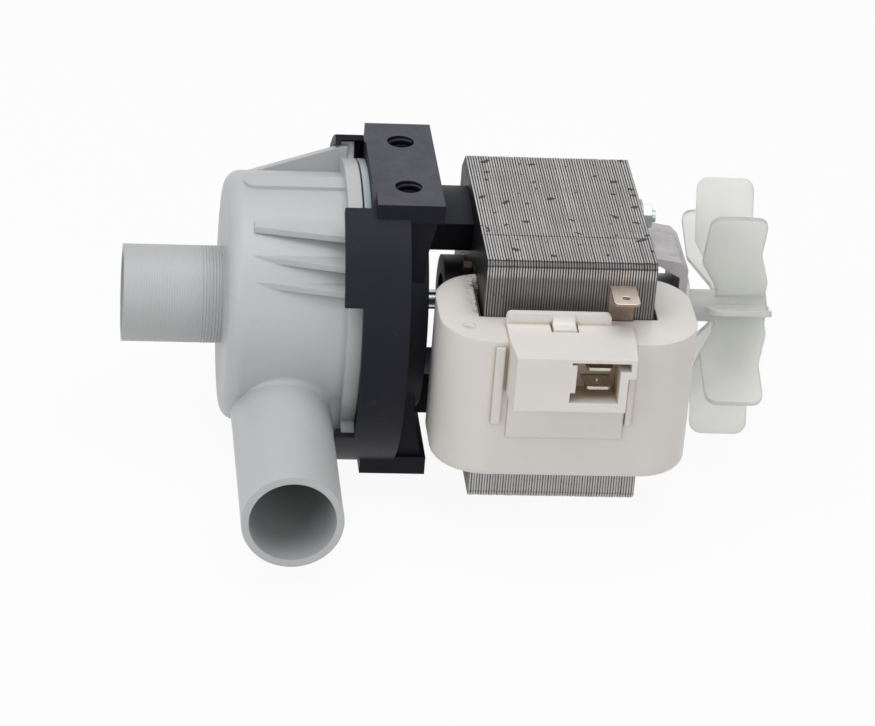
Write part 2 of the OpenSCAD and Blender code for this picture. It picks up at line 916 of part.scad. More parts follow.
module supply_tabs() {
    tip = connector_front + tab_recess;
    hole_r = 0.75;
    color("silver")
        for (side = [-1, 1])
            translate([socket_x, 0, socket_mid + side * tab_pitch / 2])
                difference() {
                    block([-tab_w / 2, tip, -tab_t / 2], [tab_w / 2, cover_front + cover_wall, tab_t / 2]);
                    translate([0, tip + tab_w / 2, -tab_t])
                        cylinder(h = 2 * tab_t, r = hole_r);
                }
}

module earth_tab() {
    foot = 4;
    hole_r = 0.85;
    color("rosybrown")
        difference() {
            union() {
                block([earth_x - tab_w / 2, core_front - tab_t, foot],
                    [earth_x + tab_w / 2, core_front, earth_top]);
                block([earth_x - tab_w / 2, core_front - earth_blade, earth_top - tab_t],
                    [earth_x + tab_w / 2, core_front, earth_top]);
            }
            translate([earth_x, core_front - earth_blade + tab_w / 2, earth_top - 2 * tab_t])
                cylinder(h = 3 * tab_t, r = hole_r);
        }
}

// Outline of the bridge seen along Y: a foot, a sloping wall and the end wall, on both sides of the shaft
module bridge_side_outline() {
    corner = 2;
    fall = 1.2;
    foot_step = 0.4;
    web_len = 5;
    web_h = 2.4;
    inner = bridge_half - bridge_t;
    foot_z = bolt_pitch / 2 + 1.15 * nut_r;
    for (side = [0, 1])
        mirror([0, side])
            polygon([
                [stack_end, foot_z],
                [stack_end + bridge_t, foot_z],
                [stack_end + bridge_t, bridge_half + foot_step],
                [bridge_end - corner, bridge_half - fall],
                [bridge_end, bridge_half - fall - corner],
                [bridge_end, -cut],
                [bridge_end - bridge_t, -cut],
                [bridge_end - bridge_t, inner - fall - web_h],
                [bridge_end - bridge_t - web_len, inner - fall / 2],
                [stack_end, inner]
            ]);
}

// Outline of the bridge seen along the shaft: a wide strap with a round ear at each bolt
module bridge_end_outline() {
    ear_r = 1.25 * nut_r;
    strap_past = 1;
    square([bridge_w, 2 * (bridge_half + strap_past)], center = true);
    square([2 * ear_r, bolt_pitch], center = true);
    for (side = [-1, 1])
        translate([0, side * bolt_pitch / 2])
            circle(r = ear_r);
}

module rear_bridge() {
    color("lightslategray")
        difference() {
            union() {
                intersection() {
                    translate([0, bridge_w / 2, 0])
                        rotate([90, 0, 0])
                            linear_extrude(bridge_w)
                                bridge_side_outline();
                    translate([stack_end - cut, 0, 0])
                        rotate([90, 0, 90])
                            linear_extrude(bridge_rise + 2 * cut)
                                bridge_end_outline();
                }
                bar_x(rear_mouth, rear_hub_end, hub_r);
            }
            bar_x(rear_mouth - cut, rear_mouth + pocket_len, pocket_r);
            bar_x(rear_mouth, rear_mouth + clip_t + bush_len, bush_d / 2);
            bar_x(rear_mouth, rear_hub_end + cut, hub_hole_r);
            at_bolts() bar_x(stack_end - cut, bridge_end, bolt_hole_r);
        }
}

module through_bolts() {
    head_x = seat_x + bolt_recess - bolt_head_h;
    bolt_past = 1;
    bolt_end = stack_end + bridge_t + nut_h + bolt_past;
    color("silver")
        at_bolts() {
            bar_x(head_x, seat_x + bolt_recess, bolt_head_r);
            bar_x(head_x, bolt_end, bolt_d / 2);
        }
}

module bolt_nuts() {
    color("lightgray")
        at_bolts()
            difference() {
                translate([stack_end + bridge_t, 0, 0])
                    rotate([0, 90, 0])
                        cylinder(h = nut_h, r = nut_r, $fn = 6);
                bar_x(stack_end, bridge_end, bolt_d / 2 + hair);
            }
}

module shaft() {
    color("silver") bar_x(shaft_start, shaft_end, shaft_r);
}

// The bars of the cage, or the slots that they fill
module cage_bar_set(growth) {
    bar_r = 1.1;
    bar_depth = 2 * bar_r;
    for (bar = [0 : cage_bars - 1])
        rotate([360 * bar / cage_bars, 0, 0])
            translate([0, 0, rotor_r - bar_depth])
                bar_x(stack_x - cut, stack_end + cut, bar_r + growth);
}

module rotor_core() {
    color("slategray")
        difference() {
            tube_x(stack_x, stack_end, rotor_r, fixed_r);
            cage_bar_set(hair);
        }
}

module rotor_cage() {
    ring_wall = 4.6;
    ring_step = 0.4;
    ring_r = rotor_r - ring_step;
    color("lightgray") {
        cage_bar_set(0);
        tube_x(stack_x - end_ring_len, stack_x, ring_r, ring_r - ring_wall);
        tube_x(stack_end, stack_end + end_ring_len, ring_r, ring_r - ring_wall);
    }
}

module impeller() {
    disc_t = 2;
    blade_t = 1.8;
    boss_wall = 2.2;
    boss_r = shaft_r + boss_wall;
    back_gap = 0.8;
    disc_end = seat_x - seal_boss_len - back_gap;
    blade_x = disc_end - disc_t - impeller_h;
    color("whitesmoke")
        difference() {
            union() {
                bar_x(disc_end - disc_t, disc_end, impeller_d / 2);
                bar_x(blade_x, disc_end, boss_r);
                for (blade = [0 : impeller_blades - 1])
                    rotate([360 * blade / impeller_blades, 0, 0])
                        block([blade_x, boss_r - boss_wall / 2, -blade_t / 2],
                            [disc_end - disc_t + cut, impeller_d / 2 - cut, blade_t / 2]);
            }
            bar_x(shaft_start, disc_end + cut, fixed_r);
        }
}

module water_slinger() {
    color("dimgray") tube_x(seat_x + slinger_gap, seat_x + slinger_gap + slinger_t, slinger_r, fixed_r);
}

module thrust_washers() {
    washer_t = 1;
    washer_wall = 2.2;
    washer_r = shaft_r + washer_wall;
    color("sienna") {
        tube_x(front_mouth + loose, front_mouth + loose + washer_t, washer_r, fixed_r);
        tube_x(rear_mouth - loose - washer_t, rear_mouth - loose, washer_r, fixed_r);
    }
}

// Points along a quarter round, turning to the right
function round_corner(centre, radius, start) =
    [for (step = [0 : 22.5 : 90]) centre + radius * [cos(start - step), sin(start - step)]];

module cooling_fan() {
    cut_r = 0.5 * fan_r;
    cut_low_r = 0.21 * fan_r;
    cut_depth = 5;
    flare_r = 0.62 * fan_r;
    flare_low_r = 0.3 * fan_r;
    hub_overlap = 1;
    root_r = fan_hub_d / 2 - hub_overlap;
    tip_r = fan_r - fan_round;
    blade = concat(
        [[fan_x + cut_depth, root_r], [fan_x + cut_depth, cut_low_r], [fan_x, cut_r]],
        round_corner([fan_x + fan_round, tip_r], fan_round, 180),
        round_corner([fan_end - fan_round, tip_r], fan_round, 90),
        [[fan_end, flare_r], [fan_end + fan_flare, flare_low_r], [fan_end + fan_flare, root_r]]
    );
    color("honeydew")
        difference() {
            union() {
                bar_x(fan_hub_x, fan_nose, fan_hub_d / 2);
                for (turn = [0 : fan_blades - 1])
                    rotate([90 - fan_angle - 360 * turn / fan_blades, 0, 0])
                        translate([0, fan_blade_t / 2, 0])
                            rotate([90, 0, 0])
                                linear_extrude(fan_blade_t)
                                    polygon(blade);
            }
            bar_x(fan_hub_x - cut, shaft_end, fixed_r);
        }
}

pump_housing();
seal_plate();
housing_o_ring();
shaft_seal();
motor_bracket();
front_bearing();
front_felt_ring();
front_bearing_clip();
stator_core();
coil_core();
shading_rings();
coil_bobbin();
coil_winding();
coil_cover();
connector_housing();
supply_tabs();
earth_tab();
rear_bridge();
rear_bearing();
rear_felt_ring();
rear_bearing_clip();
through_bolts();
bolt_nuts();
shaft();
rotor_core();
rotor_cage();
impeller();
water_slinger();
thrust_washers();
cooling_fan();
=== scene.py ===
"""Looks of a washer drain pump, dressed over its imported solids."""

import logging
import math
from dataclasses import dataclass
from enum import Enum
from typing import Any, Callable, Mapping, Optional, Sequence, Union

import bmesh
import bpy
from mathutils import Matrix, Vector


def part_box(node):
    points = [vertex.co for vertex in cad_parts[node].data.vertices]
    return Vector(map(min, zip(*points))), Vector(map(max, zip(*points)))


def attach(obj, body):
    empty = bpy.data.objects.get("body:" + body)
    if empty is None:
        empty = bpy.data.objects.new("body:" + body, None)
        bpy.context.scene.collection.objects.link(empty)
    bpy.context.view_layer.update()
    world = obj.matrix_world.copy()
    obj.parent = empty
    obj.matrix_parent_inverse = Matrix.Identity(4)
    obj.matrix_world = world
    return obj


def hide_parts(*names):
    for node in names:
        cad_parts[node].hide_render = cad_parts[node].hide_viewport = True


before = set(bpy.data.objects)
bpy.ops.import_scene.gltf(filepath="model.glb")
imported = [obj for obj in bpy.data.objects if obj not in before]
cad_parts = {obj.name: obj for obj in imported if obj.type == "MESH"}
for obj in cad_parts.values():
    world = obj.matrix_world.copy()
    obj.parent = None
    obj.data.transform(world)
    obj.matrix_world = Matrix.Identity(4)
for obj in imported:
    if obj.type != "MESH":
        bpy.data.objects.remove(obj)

LOG = logging.getLogger("drain_pump")
MM = 0.001
SHARP_DEGREES = 32.0
Colour = tuple[float, float, float]
Operand = Union["Value", float]
WHITE: Colour = (1.0, 1.0, 1.0)


class Body(Enum):
    """The bodies that a piece can ride on."""

    PUMP = "pump"
    ROTOR = "rotor"


class Axis(Enum):
    """The axes of the shared frame: X runs along the shaft and Z is up."""

    X = "X"
    Y = "Y"
    Z = "Z"


def srgb(red: int, green: int, blue: int) -> Colour:
    """Turn a colour as a screen shows it into linear light.

    Args:
        red: Red, from 0 to 255.
        green: Green, from 0 to 255.
        blue: Blue, from 0 to 255.

    Returns:
        The same colour in linear light.
    """
    parts = [value / 255 for value in (red, green, blue)]
    linear = [part / 12.92 if part <= 0.04045 else ((part + 0.055) / 1.055) ** 2.4 for part in parts]
    return (linear[0], linear[1], linear[2])


def shade(colour: Colour, gain: float) -> Colour:
    """Return a colour made lighter or darker by a gain."""
    return tuple(min(1.0, part * gain) for part in colour)


class Graph:
    """A node tree that is written one node at a time."""

    def __init__(self, tree: bpy.types.NodeTree) -> None:
        """Wrap a tree."""
        self.tree = tree

    def node(
        self,
        kind: str,
        settings: Optional[Mapping[str, Any]] = None,
        sockets: Optional[Mapping[Union[str, int], Any]] = None,
    ) -> bpy.types.Node:
        """Add a node.

        Args:
            kind: The node's type.
            settings: Properties that are set before the sockets.
            sockets: Values or links for the node's inputs, by name or by number.

        Returns:
            The new node.
        """
        node = self.tree.nodes.new(kind)
        for key, value in (settings or {}).items():
            setattr(node, key, value)
        for key, value in (sockets or {}).items():
            self.feed(node.inputs[key], value)
        return node

    def feed(self, socket: bpy.types.NodeSocket, value: Any) -> None:
        """Link a socket to another one, or give it a value.

        Args:
            socket: The input that is fed.
            value: A wrapped value, an output socket, or a plain value.
        """
        if isinstance(value, Value):
            value = value.socket
        if isinstance(value, bpy.types.NodeSocket):
            self.tree.links.new(value, socket)
        elif socket.type == "RGBA" and len(value) == 3:
            socket.default_value = (*value, 1.0)
        else:
            socket.default_value = value


class Value:
    """A number that varies over a surface, with the arithmetic of a plain number."""

    def __init__(self, paint: "Paint", socket: bpy.types.NodeSocket) -> None:
        """Wrap an output socket of a material."""
        self.paint = paint
        self.socket = socket

    def __add__(self, other: Operand) -> "Value":
        """Return the sum."""
        return self.paint.math("ADD", self, other)

    def __radd__(self, other: Operand) -> "Value":
        """Return the sum, with the number first."""
        return self.paint.math("ADD", other, self)

    def __sub__(self, other: Operand) -> "Value":
        """Return the difference."""
        return self.paint.math("SUBTRACT", self, other)

    def __rsub__(self, other: Operand) -> "Value":
        """Return the difference, with the number first."""
        return self.paint.math("SUBTRACT", other, self)

    def __mul__(self, other: Operand) -> "Value":
        """Return the product."""
        return self.paint.math("MULTIPLY", self, other)

    def __rmul__(self, other: Operand) -> "Value":
        """Return the product, with the number first."""
        return self.paint.math("MULTIPLY", other, self)

    def sine(self) -> "Value":
        """Return the sine."""
        return self.paint.math("SINE", self, 0.0)

    def size(self) -> "Value":
        """Return the value without its sign."""
        return self.paint.math("ABSOLUTE", self, 0.0)

    def swing(self, gain: float) -> "Value":
        """Return how far a pattern is from its middle value, times a gain."""
        middle = 0.5
        return (self - middle) * gain

    def span(self, low: float, high: float) -> "Value":
        """Return how far the value is on its way from low to high, from 0 to 1.

        Args:
            low: Where the result is 0.
            high: Where the result is 1; it may be less than low.

        Returns:
            The share, with soft ends.
        """
        sockets = {"Value": self, "From Min": low, "From Max": high}
        node = self.paint.node("ShaderNodeMapRange", {"interpolation_type": "SMOOTHSTEP"}, sockets)
        return Value(self.paint, node.outputs["Result"])


class Paint(Graph):
    """Writes the nodes of one material."""

    def __init__(self, name: str) -> None:
        """Start a material with an empty tree that reads Object coordinates.

        Args:
            name: The material's name.
        """
        self.material = bpy.data.materials.new(name)
        self.material.use_nodes = True
        super().__init__(self.material.node_tree)
        self.tree.nodes.clear()
        self.place = self.node("ShaderNodeTexCoord").outputs["Object"]

    def math(self, operation: str, first: Operand, second: Operand) -> Value:
        """Add a Math node.

        Args:
            operation: The node's operation.
            first: The first number.
            second: The second number.

        Returns:
            The result.
        """
        node = self.node("ShaderNodeMath", {"operation": operation}, {0: first, 1: second})
        return Value(self, node.outputs[0])

    def along(self, axis: Axis) -> Value:
        """Return the place along an axis, in millimetres."""
        node = self.node("ShaderNodeSeparateXYZ", None, {0: self.place})
        return Value(self, node.outputs[axis.value]) * (1 / MM)

    def facing(self, axis: Axis) -> Value:
        """Find how much the surface faces along an axis.

        Args:
            axis: The axis.

        Returns:
            1 where it faces along the axis, and -1 where it faces the other way.
        """
        normal = self.node("ShaderNodeNewGeometry").outputs["Normal"]
        node = self.node("ShaderNodeSeparateXYZ", None, {0: normal})
        return Value(self, node.outputs[axis.value])

    def near(self, axis: Axis, place_mm: float, reach_mm: float) -> Value:
        """Return 1 at a place along an axis, fading to 0 at a distance from it."""
        core_share = 0.3
        return (self.along(axis) - place_mm).size().span(reach_mm, reach_mm * core_share)

    def attribute(self, name: str) -> Value:
        """Return a number that the mesh carries."""
        node = self.node("ShaderNodeAttribute", {"attribute_type": "GEOMETRY", "attribute_name": name})
        return Value(self, node.outputs["Fac"])

    def noise(
        self,
        size_mm: float,
        detail: float = 3.0,
        roughness: float = 0.55,
        stretch: Sequence[float] = (1.0, 1.0, 1.0),
        shift: float = 0.0,
    ) -> Value:
        """Add a cloudy pattern.

        Args:
            size_mm: The size of its largest marks.
            detail: How many finer layers it has.
            roughness: How strong these layers are.
            stretch: A scale along X, Y and Z; a small one draws the marks out.
            shift: Moves the pattern, so that two of one size differ.

        Returns:
            The pattern, about 0.5 on average.
        """
        sockets = {"Vector": self.place, "Scale": stretch, "Location": (shift, shift, shift)}
        moved = self.node("ShaderNodeMapping", None, sockets)
        sockets = {
            "Vector": moved.outputs[0],
            "Scale": 1 / (size_mm * MM),
            "Detail": detail,
            "Roughness": roughness,
        }
        node = self.node("ShaderNodeTexNoise", {"noise_dimensions": "3D"}, sockets)
        return Value(self, node.outputs[0])

    def blotches(self, size_mm: float, shift: float = 0.0) -> Value:
        """Return a cloudy pattern with ragged edges."""
        return self.noise(size_mm, detail=6.0, roughness=0.7, shift=shift)

    def mix(self, factor: Operand, first: Any, second: Any) -> bpy.types.NodeSocket:
        """Mix two colours.

        Args:
            factor: The share of the second one.
            first: A colour or a colour socket.
            second: A colour or a colour socket.

        Returns:
            The mixed colour.
        """
        settings = {"data_type": "RGBA", "clamp_factor": True}
        node = self.node("ShaderNodeMix", settings, {0: factor, 6: first, 7: second})
        return node.outputs[2]

    def rounded(self, radius_mm: float) -> bpy.types.NodeSocket:
        """Return the surface normal, with edges rounded off by a radius."""
        return self.node("ShaderNodeBevel", {"samples": 4}, {"Radius": radius_mm * MM}).outputs[0]

    def edges(self, radius_mm: float) -> Value:
        """Find the edges of a piece.

        Args:
            radius_mm: How far from an edge it is still found.

        Returns:
            1 on an edge and 0 away from it.
        """
        true_normal = self.node("ShaderNodeNewGeometry").outputs["Normal"]
        sockets = {0: self.rounded(radius_mm), 1: true_normal}
        node = self.node("ShaderNodeVectorMath", {"operation": "DOT_PRODUCT"}, sockets)
        flat, sharp = 0.99, 0.82
        return Value(self, node.outputs["Value"]).span(flat, sharp)

    def creases(self, reach_mm: float) -> Value:
        """Find the corners by ambient occlusion, where dirt and painted shade go.

        Args:
            reach_mm: How far from a corner it is still found.

        Returns:
            1 deep in a corner and 0 on an open face.
        """
        node = self.node("ShaderNodeAmbientOcclusion", {"samples": 6}, {"Distance": reach_mm * MM})
        open_face, corner = 0.85, 0.25
        return Value(self, node.outputs["AO"]).span(open_face, corner)

    def bump(
        self, height: Operand, depth_mm: float, normal: Optional[bpy.types.NodeSocket] = None
    ) -> bpy.types.NodeSocket:
        """Turn a height into a normal.

        Args:
            height: The height, from 0 to 1.
            depth_mm: What a height of 1 stands for.
            normal: The normal that it starts from.

        Returns:
            The normal.
        """
        sockets = {"Height": height, "Distance": depth_mm * MM, "Strength": 1.0}
        if normal is not None:
            sockets["Normal"] = normal
        return self.node("ShaderNodeBump", None, sockets).outputs[0]

    def surface(self, sockets: Mapping[str, Any]) -> bpy.types.Material:
        """Finish the material.

        Args:
            sockets: Values or links for the surface shader.

        Returns:
            The material.
        """
        shader = self.node("ShaderNodeBsdfPrincipled", None, sockets)
        self.node("ShaderNodeOutputMaterial", None, {"Surface": shader.outputs[0]})
        return self.material


@dataclass(frozen=True)
class Finish:
    """A finish that pieces take.

    Attributes:
        name: The name of its material, before _finish.
        colour: Its main colour, in linear light.
        roughness: How dull it is, from 0 to 1.
        edge_mm: The radius of its edges.
    """

    name: str
    colour: Colour
    roughness: float = 0.45
    edge_mm: float = 0.3

    def paint(self, paint: Paint) -> bpy.types.Material:
        """Write the nodes of the finish."""
        raise NotImplementedError

    def material(self) -> bpy.types.Material:
        """Return the material of the finish, made once."""
        name = self.name + "_finish"
        return bpy.data.materials.get(name) or self.paint(Paint(name))


@dataclass(frozen=True)
class MouldedPlastic(Finish):
    """Moulded plastic with a fine grain, soft clouds of tone and a few marks.

    Attributes:
        mottle: How much the tone varies.
        grain_mm: The size of the grain.
        grain_depth_mm: The depth of the grain.
        edge_highlight_gain: How much lighter the edges are painted: a painted highlight, with some wear.
        soil: The colour of the marks.
        soil_share: How strong the marks are.
        glow: How much light goes through the skin.
        specular: How strongly it mirrors.
        dust_and_top_light: The colour of what faces up: settled dirt, together with painted light on the lit
            top faces.
        dust_and_top_light_share: How strong that colour is.
        dust_and_top_light_above_mm: The height above which it lies.
        grime_and_crease_shade: The colour painted into the corners: dirt, together with painted shade.
        grime_and_crease_shade_share: How strong it is.
        crease_reach_mm: How far it reaches out of a corner.
        cloud_mm: The size of the clouds of tone.
    """

    mottle: float = 0.05
    grain_mm: float = 0.5
    grain_depth_mm: float = 0.012
    edge_highlight_gain: float = 0.25
    soil: Colour = (0.12, 0.10, 0.08)
    soil_share: float = 0.10
    glow: float = 0.0
    specular: float = 0.5
    dust_and_top_light: Colour = (0.2, 0.2, 0.2)
    dust_and_top_light_share: float = 0.0
    dust_and_top_light_above_mm: float = -100.0
    grime_and_crease_shade: Colour = (0.3, 0.26, 0.2)
    grime_and_crease_shade_share: float = 0.0
    crease_reach_mm: float = 1.6
    cloud_mm: float = 18.0

    def relief(self, paint: Paint, grain: Value) -> Operand:
        """Return the height of the skin, in grain depths."""
        return grain

    def marks(self, paint: Paint) -> Value:
        """Return where the skin is marked."""
        return paint.blotches(6.0).span(0.60, 0.76)

    def paint(self, paint: Paint) -> bpy.types.Material:
        """Write the nodes of the finish.

        Args:
            paint: The new material.

        Returns:
            The finished material.
        """
        cloud = paint.noise(self.cloud_mm, 2.0)
        grain = paint.noise(self.grain_mm, 4.0)
        marks = self.marks(paint)
        tone = cloud.swing(2.0) + grain.swing(0.9) + 0.5
        base = paint.mix(tone, shade(self.colour, 1 - self.mottle), shade(self.colour, 1 + self.mottle))
        base = paint.mix(marks * self.soil_share, base, self.soil)
        # Up-facing faces above a height are painted lighter: settled dirt, together with painted light on the
        # lit top.
        if self.dust_and_top_light_share:
            settled_and_lit = paint.facing(Axis.Z).span(0.5, 0.95)
            settled_and_lit = settled_and_lit * (paint.blotches(5.0, 1.7) * 1.2 + 0.3)
            settled_and_lit = settled_and_lit * paint.along(Axis.Z).span(self.dust_and_top_light_above_mm - 1.0, self.dust_and_top_light_above_mm)
            base = paint.mix(settled_and_lit * self.dust_and_top_light_share, base, self.dust_and_top_light)
        # Edges painted lighter: a painted highlight, with some wear.
        base = paint.mix(paint.edges(self.edge_mm) * self.edge_highlight_gain, base, shade(self.colour, 1.35))
        # Corners found by ambient occlusion are painted darker: dirt, together with painted shade.
        if self.grime_and_crease_shade_share:
            base = paint.mix(paint.creases(self.crease_reach_mm) * self.grime_and_crease_shade_share, base, self.grime_and_crease_shade)
        sockets = {
            "Base Color": base,
            "Roughness": self.roughness + grain.swing(0.16) + marks * 0.08,
            "Specular IOR Level": self.specular,
            "Normal": paint.bump(self.relief(paint, grain), self.grain_depth_mm, paint.rounded(self.edge_mm)),
            "Subsurface Weight": self.glow,
            "Subsurface Radius": (1.0, 0.85, 0.7),
            "Subsurface Scale": 0.0015,
        }
        return paint.surface(sockets)


@dataclass(frozen=True)
class TurnedPlastic(MouldedPlastic):
    """The housing's plastic, whose inlet spigot keeps the fine lines of its turned mould.

    Attributes:
        spigot_mm: Where the spigot meets the body.
        line_mm: The distance between two lines.
        line_share: How deep the lines are, in grain depths.
        spigot_share: How much of the marks' colour the rough spigot has.
    """

    spigot_mm: float = 24.4
    line_mm: float = 0.62
    line_share: float = 1.2
    spigot_share: float = 0.75

    def marks(self, paint: Paint) -> Value:
        """Return where the housing is marked: in patches, and over the spigot."""
        spigot = paint.along(Axis.X).span(self.spigot_mm + 0.6, self.spigot_mm - 0.6)
        return paint.blotches(6.0).span(0.60, 0.76) * 0.6 + spigot * self.spigot_share

    def relief(self, paint: Paint, grain: Value) -> Operand:
        """Return the grain with the turned lines.

        Args:
            paint: The new material.
            grain: The grain of the skin.

        Returns:
            The height, in grain depths.
        """
        along = paint.along(Axis.X)
        lines = (along * (2 * math.pi / self.line_mm)).sine()
        lines = lines * along.span(self.spigot_mm, self.spigot_mm - 0.4)
        return grain + lines * self.line_share


@dataclass(frozen=True)
class CoverPlastic(MouldedPlastic):
    """The coil cover's plastic, soiled where oil from the stack has run on it.

    Attributes:
        run_x_mm: The place along the shaft where the stack starts.
        run_width_mm: How far the oil has spread.
        run_y_mm: Where the oil ends in front, and where it is thick.
        run_z_mm: The height above which it lies.
    """

    run_x_mm: float = 84.4
    run_width_mm: float = 6.5
    run_y_mm: tuple[float, float] = (-45.0, -38.0)
    run_z_mm: float = 15.0

    def marks(self, paint: Paint) -> Value:
        """Return where the cover is soiled.

        Args:
            paint: The new material.

        Returns:
            1 where it is black and 0 where it is clean.
        """
        spread = (paint.along(Axis.X) - self.run_x_mm).size().span(self.run_width_mm, 0.0)
        top = paint.along(Axis.Z).span(self.run_z_mm, self.run_z_mm + 2.0)
        run = spread * top * paint.along(Axis.Y).span(*self.run_y_mm)
        smears = paint.noise(3.4, 5.0, 0.65, (1.0, 0.5, 1.0)).span(0.40, 0.80)
        crumbs = paint.noise(1.3, 4.0, 0.6, shift=4.2).span(0.44, 0.56)
        wear = paint.blotches(9.0).span(0.62, 0.84) * 0.10
        return wear + run * smears * 0.55 + run * run * run * crumbs * 1.1


@dataclass(frozen=True)
class OilAndShadePlastic(MouldedPlastic):
    """Plastic inside the motor, painted black: oily dirt, together with painted shade of the gap by the
    stack.
    """

    def marks(self, paint: Paint) -> Value:
        """Return where it is painted black."""
        return paint.noise(4.0, 5.0, 0.65).span(0.15, 0.45)


@dataclass(frozen=True)
class SocketPlastic(MouldedPlastic):
    """The connector's plastic, browned and painted darker deeper inside its socket, which is partly painted
    shade.

    Attributes:
        front_mm: The connector's front along Y.
        middle_mm: The middle of the socket along X and Z.
        half_mm: Half of the socket's size along X and Z.
    """

    front_mm: float = -64.0
    middle_mm: tuple[float, float] = (109.85, 12.35)
    half_mm: tuple[float, float] = (7.0, 5.3)

    def marks(self, paint: Paint) -> Value:
        """Return where the connector is soiled, and where it is browned and painted darker inside the socket.

        Args:
            paint: The new material.

        Returns:
            1 deep inside the socket and nearly 0 outside.
        """
        # Darker towards the back of the socket: browning, together with painted shade of the recess.
        inside = paint.along(Axis.Y).span(self.front_mm, self.front_mm + 4.0)
        for axis, middle, half in zip((Axis.X, Axis.Z), self.middle_mm, self.half_mm):
            inside = inside * (paint.along(axis) - middle).size().span(half + 0.15, half + 0.05)
        wear = paint.blotches(5.0).span(0.60, 0.80)
        return wear * 0.14 + inside * (0.75 + wear * 0.25)


@dataclass(frozen=True)
class TranslucentPlastic(Finish):
    """Plain unfilled plastic that light goes through, greyer where it is thick round the shaft.

    Attributes:
        thick_mm: The radius inside which it is thick.
        thick_gain: How much darker it is there.
        clear: How much light goes straight through.
    """

    thick_mm: float = 5.0
    thick_gain: float = 0.97
    clear: float = 0.6

    def paint(self, paint: Paint) -> bpy.types.Material:
        """Write the nodes of the finish.

        Args:
            paint: The new material.

        Returns:
            The finished material.
        """
        cloud = paint.noise(9.0, 3.0)
        grain = paint.noise(0.7, 3.0)
        tone = cloud.swing(2.2) + grain.swing(0.4) + 0.5
        base = paint.mix(tone, shade(self.colour, 0.96), shade(self.colour, 1.04))
        across = paint.along(Axis.Y)
        up = paint.along(Axis.Z)
        thick = (across * across + up * up).span((self.thick_mm + 2.5) ** 2, self.thick_mm ** 2)
        sockets = {
            "Base Color": paint.mix(thick, base, shade(self.colour, self.thick_gain)),
            "Roughness": self.roughness + cloud.swing(0.2),
            "Specular IOR Level": 0.3,
            "Normal": paint.bump(grain, 0.008, paint.rounded(self.edge_mm)),
            "Transmission Weight": self.clear,
            "IOR": 1.3,
            "Subsurface Weight": 1.0,
            "Subsurface Radius": (1.0, 1.0, 0.95),
            "Subsurface Scale": 0.006,
        }
        return paint.surface(sockets)


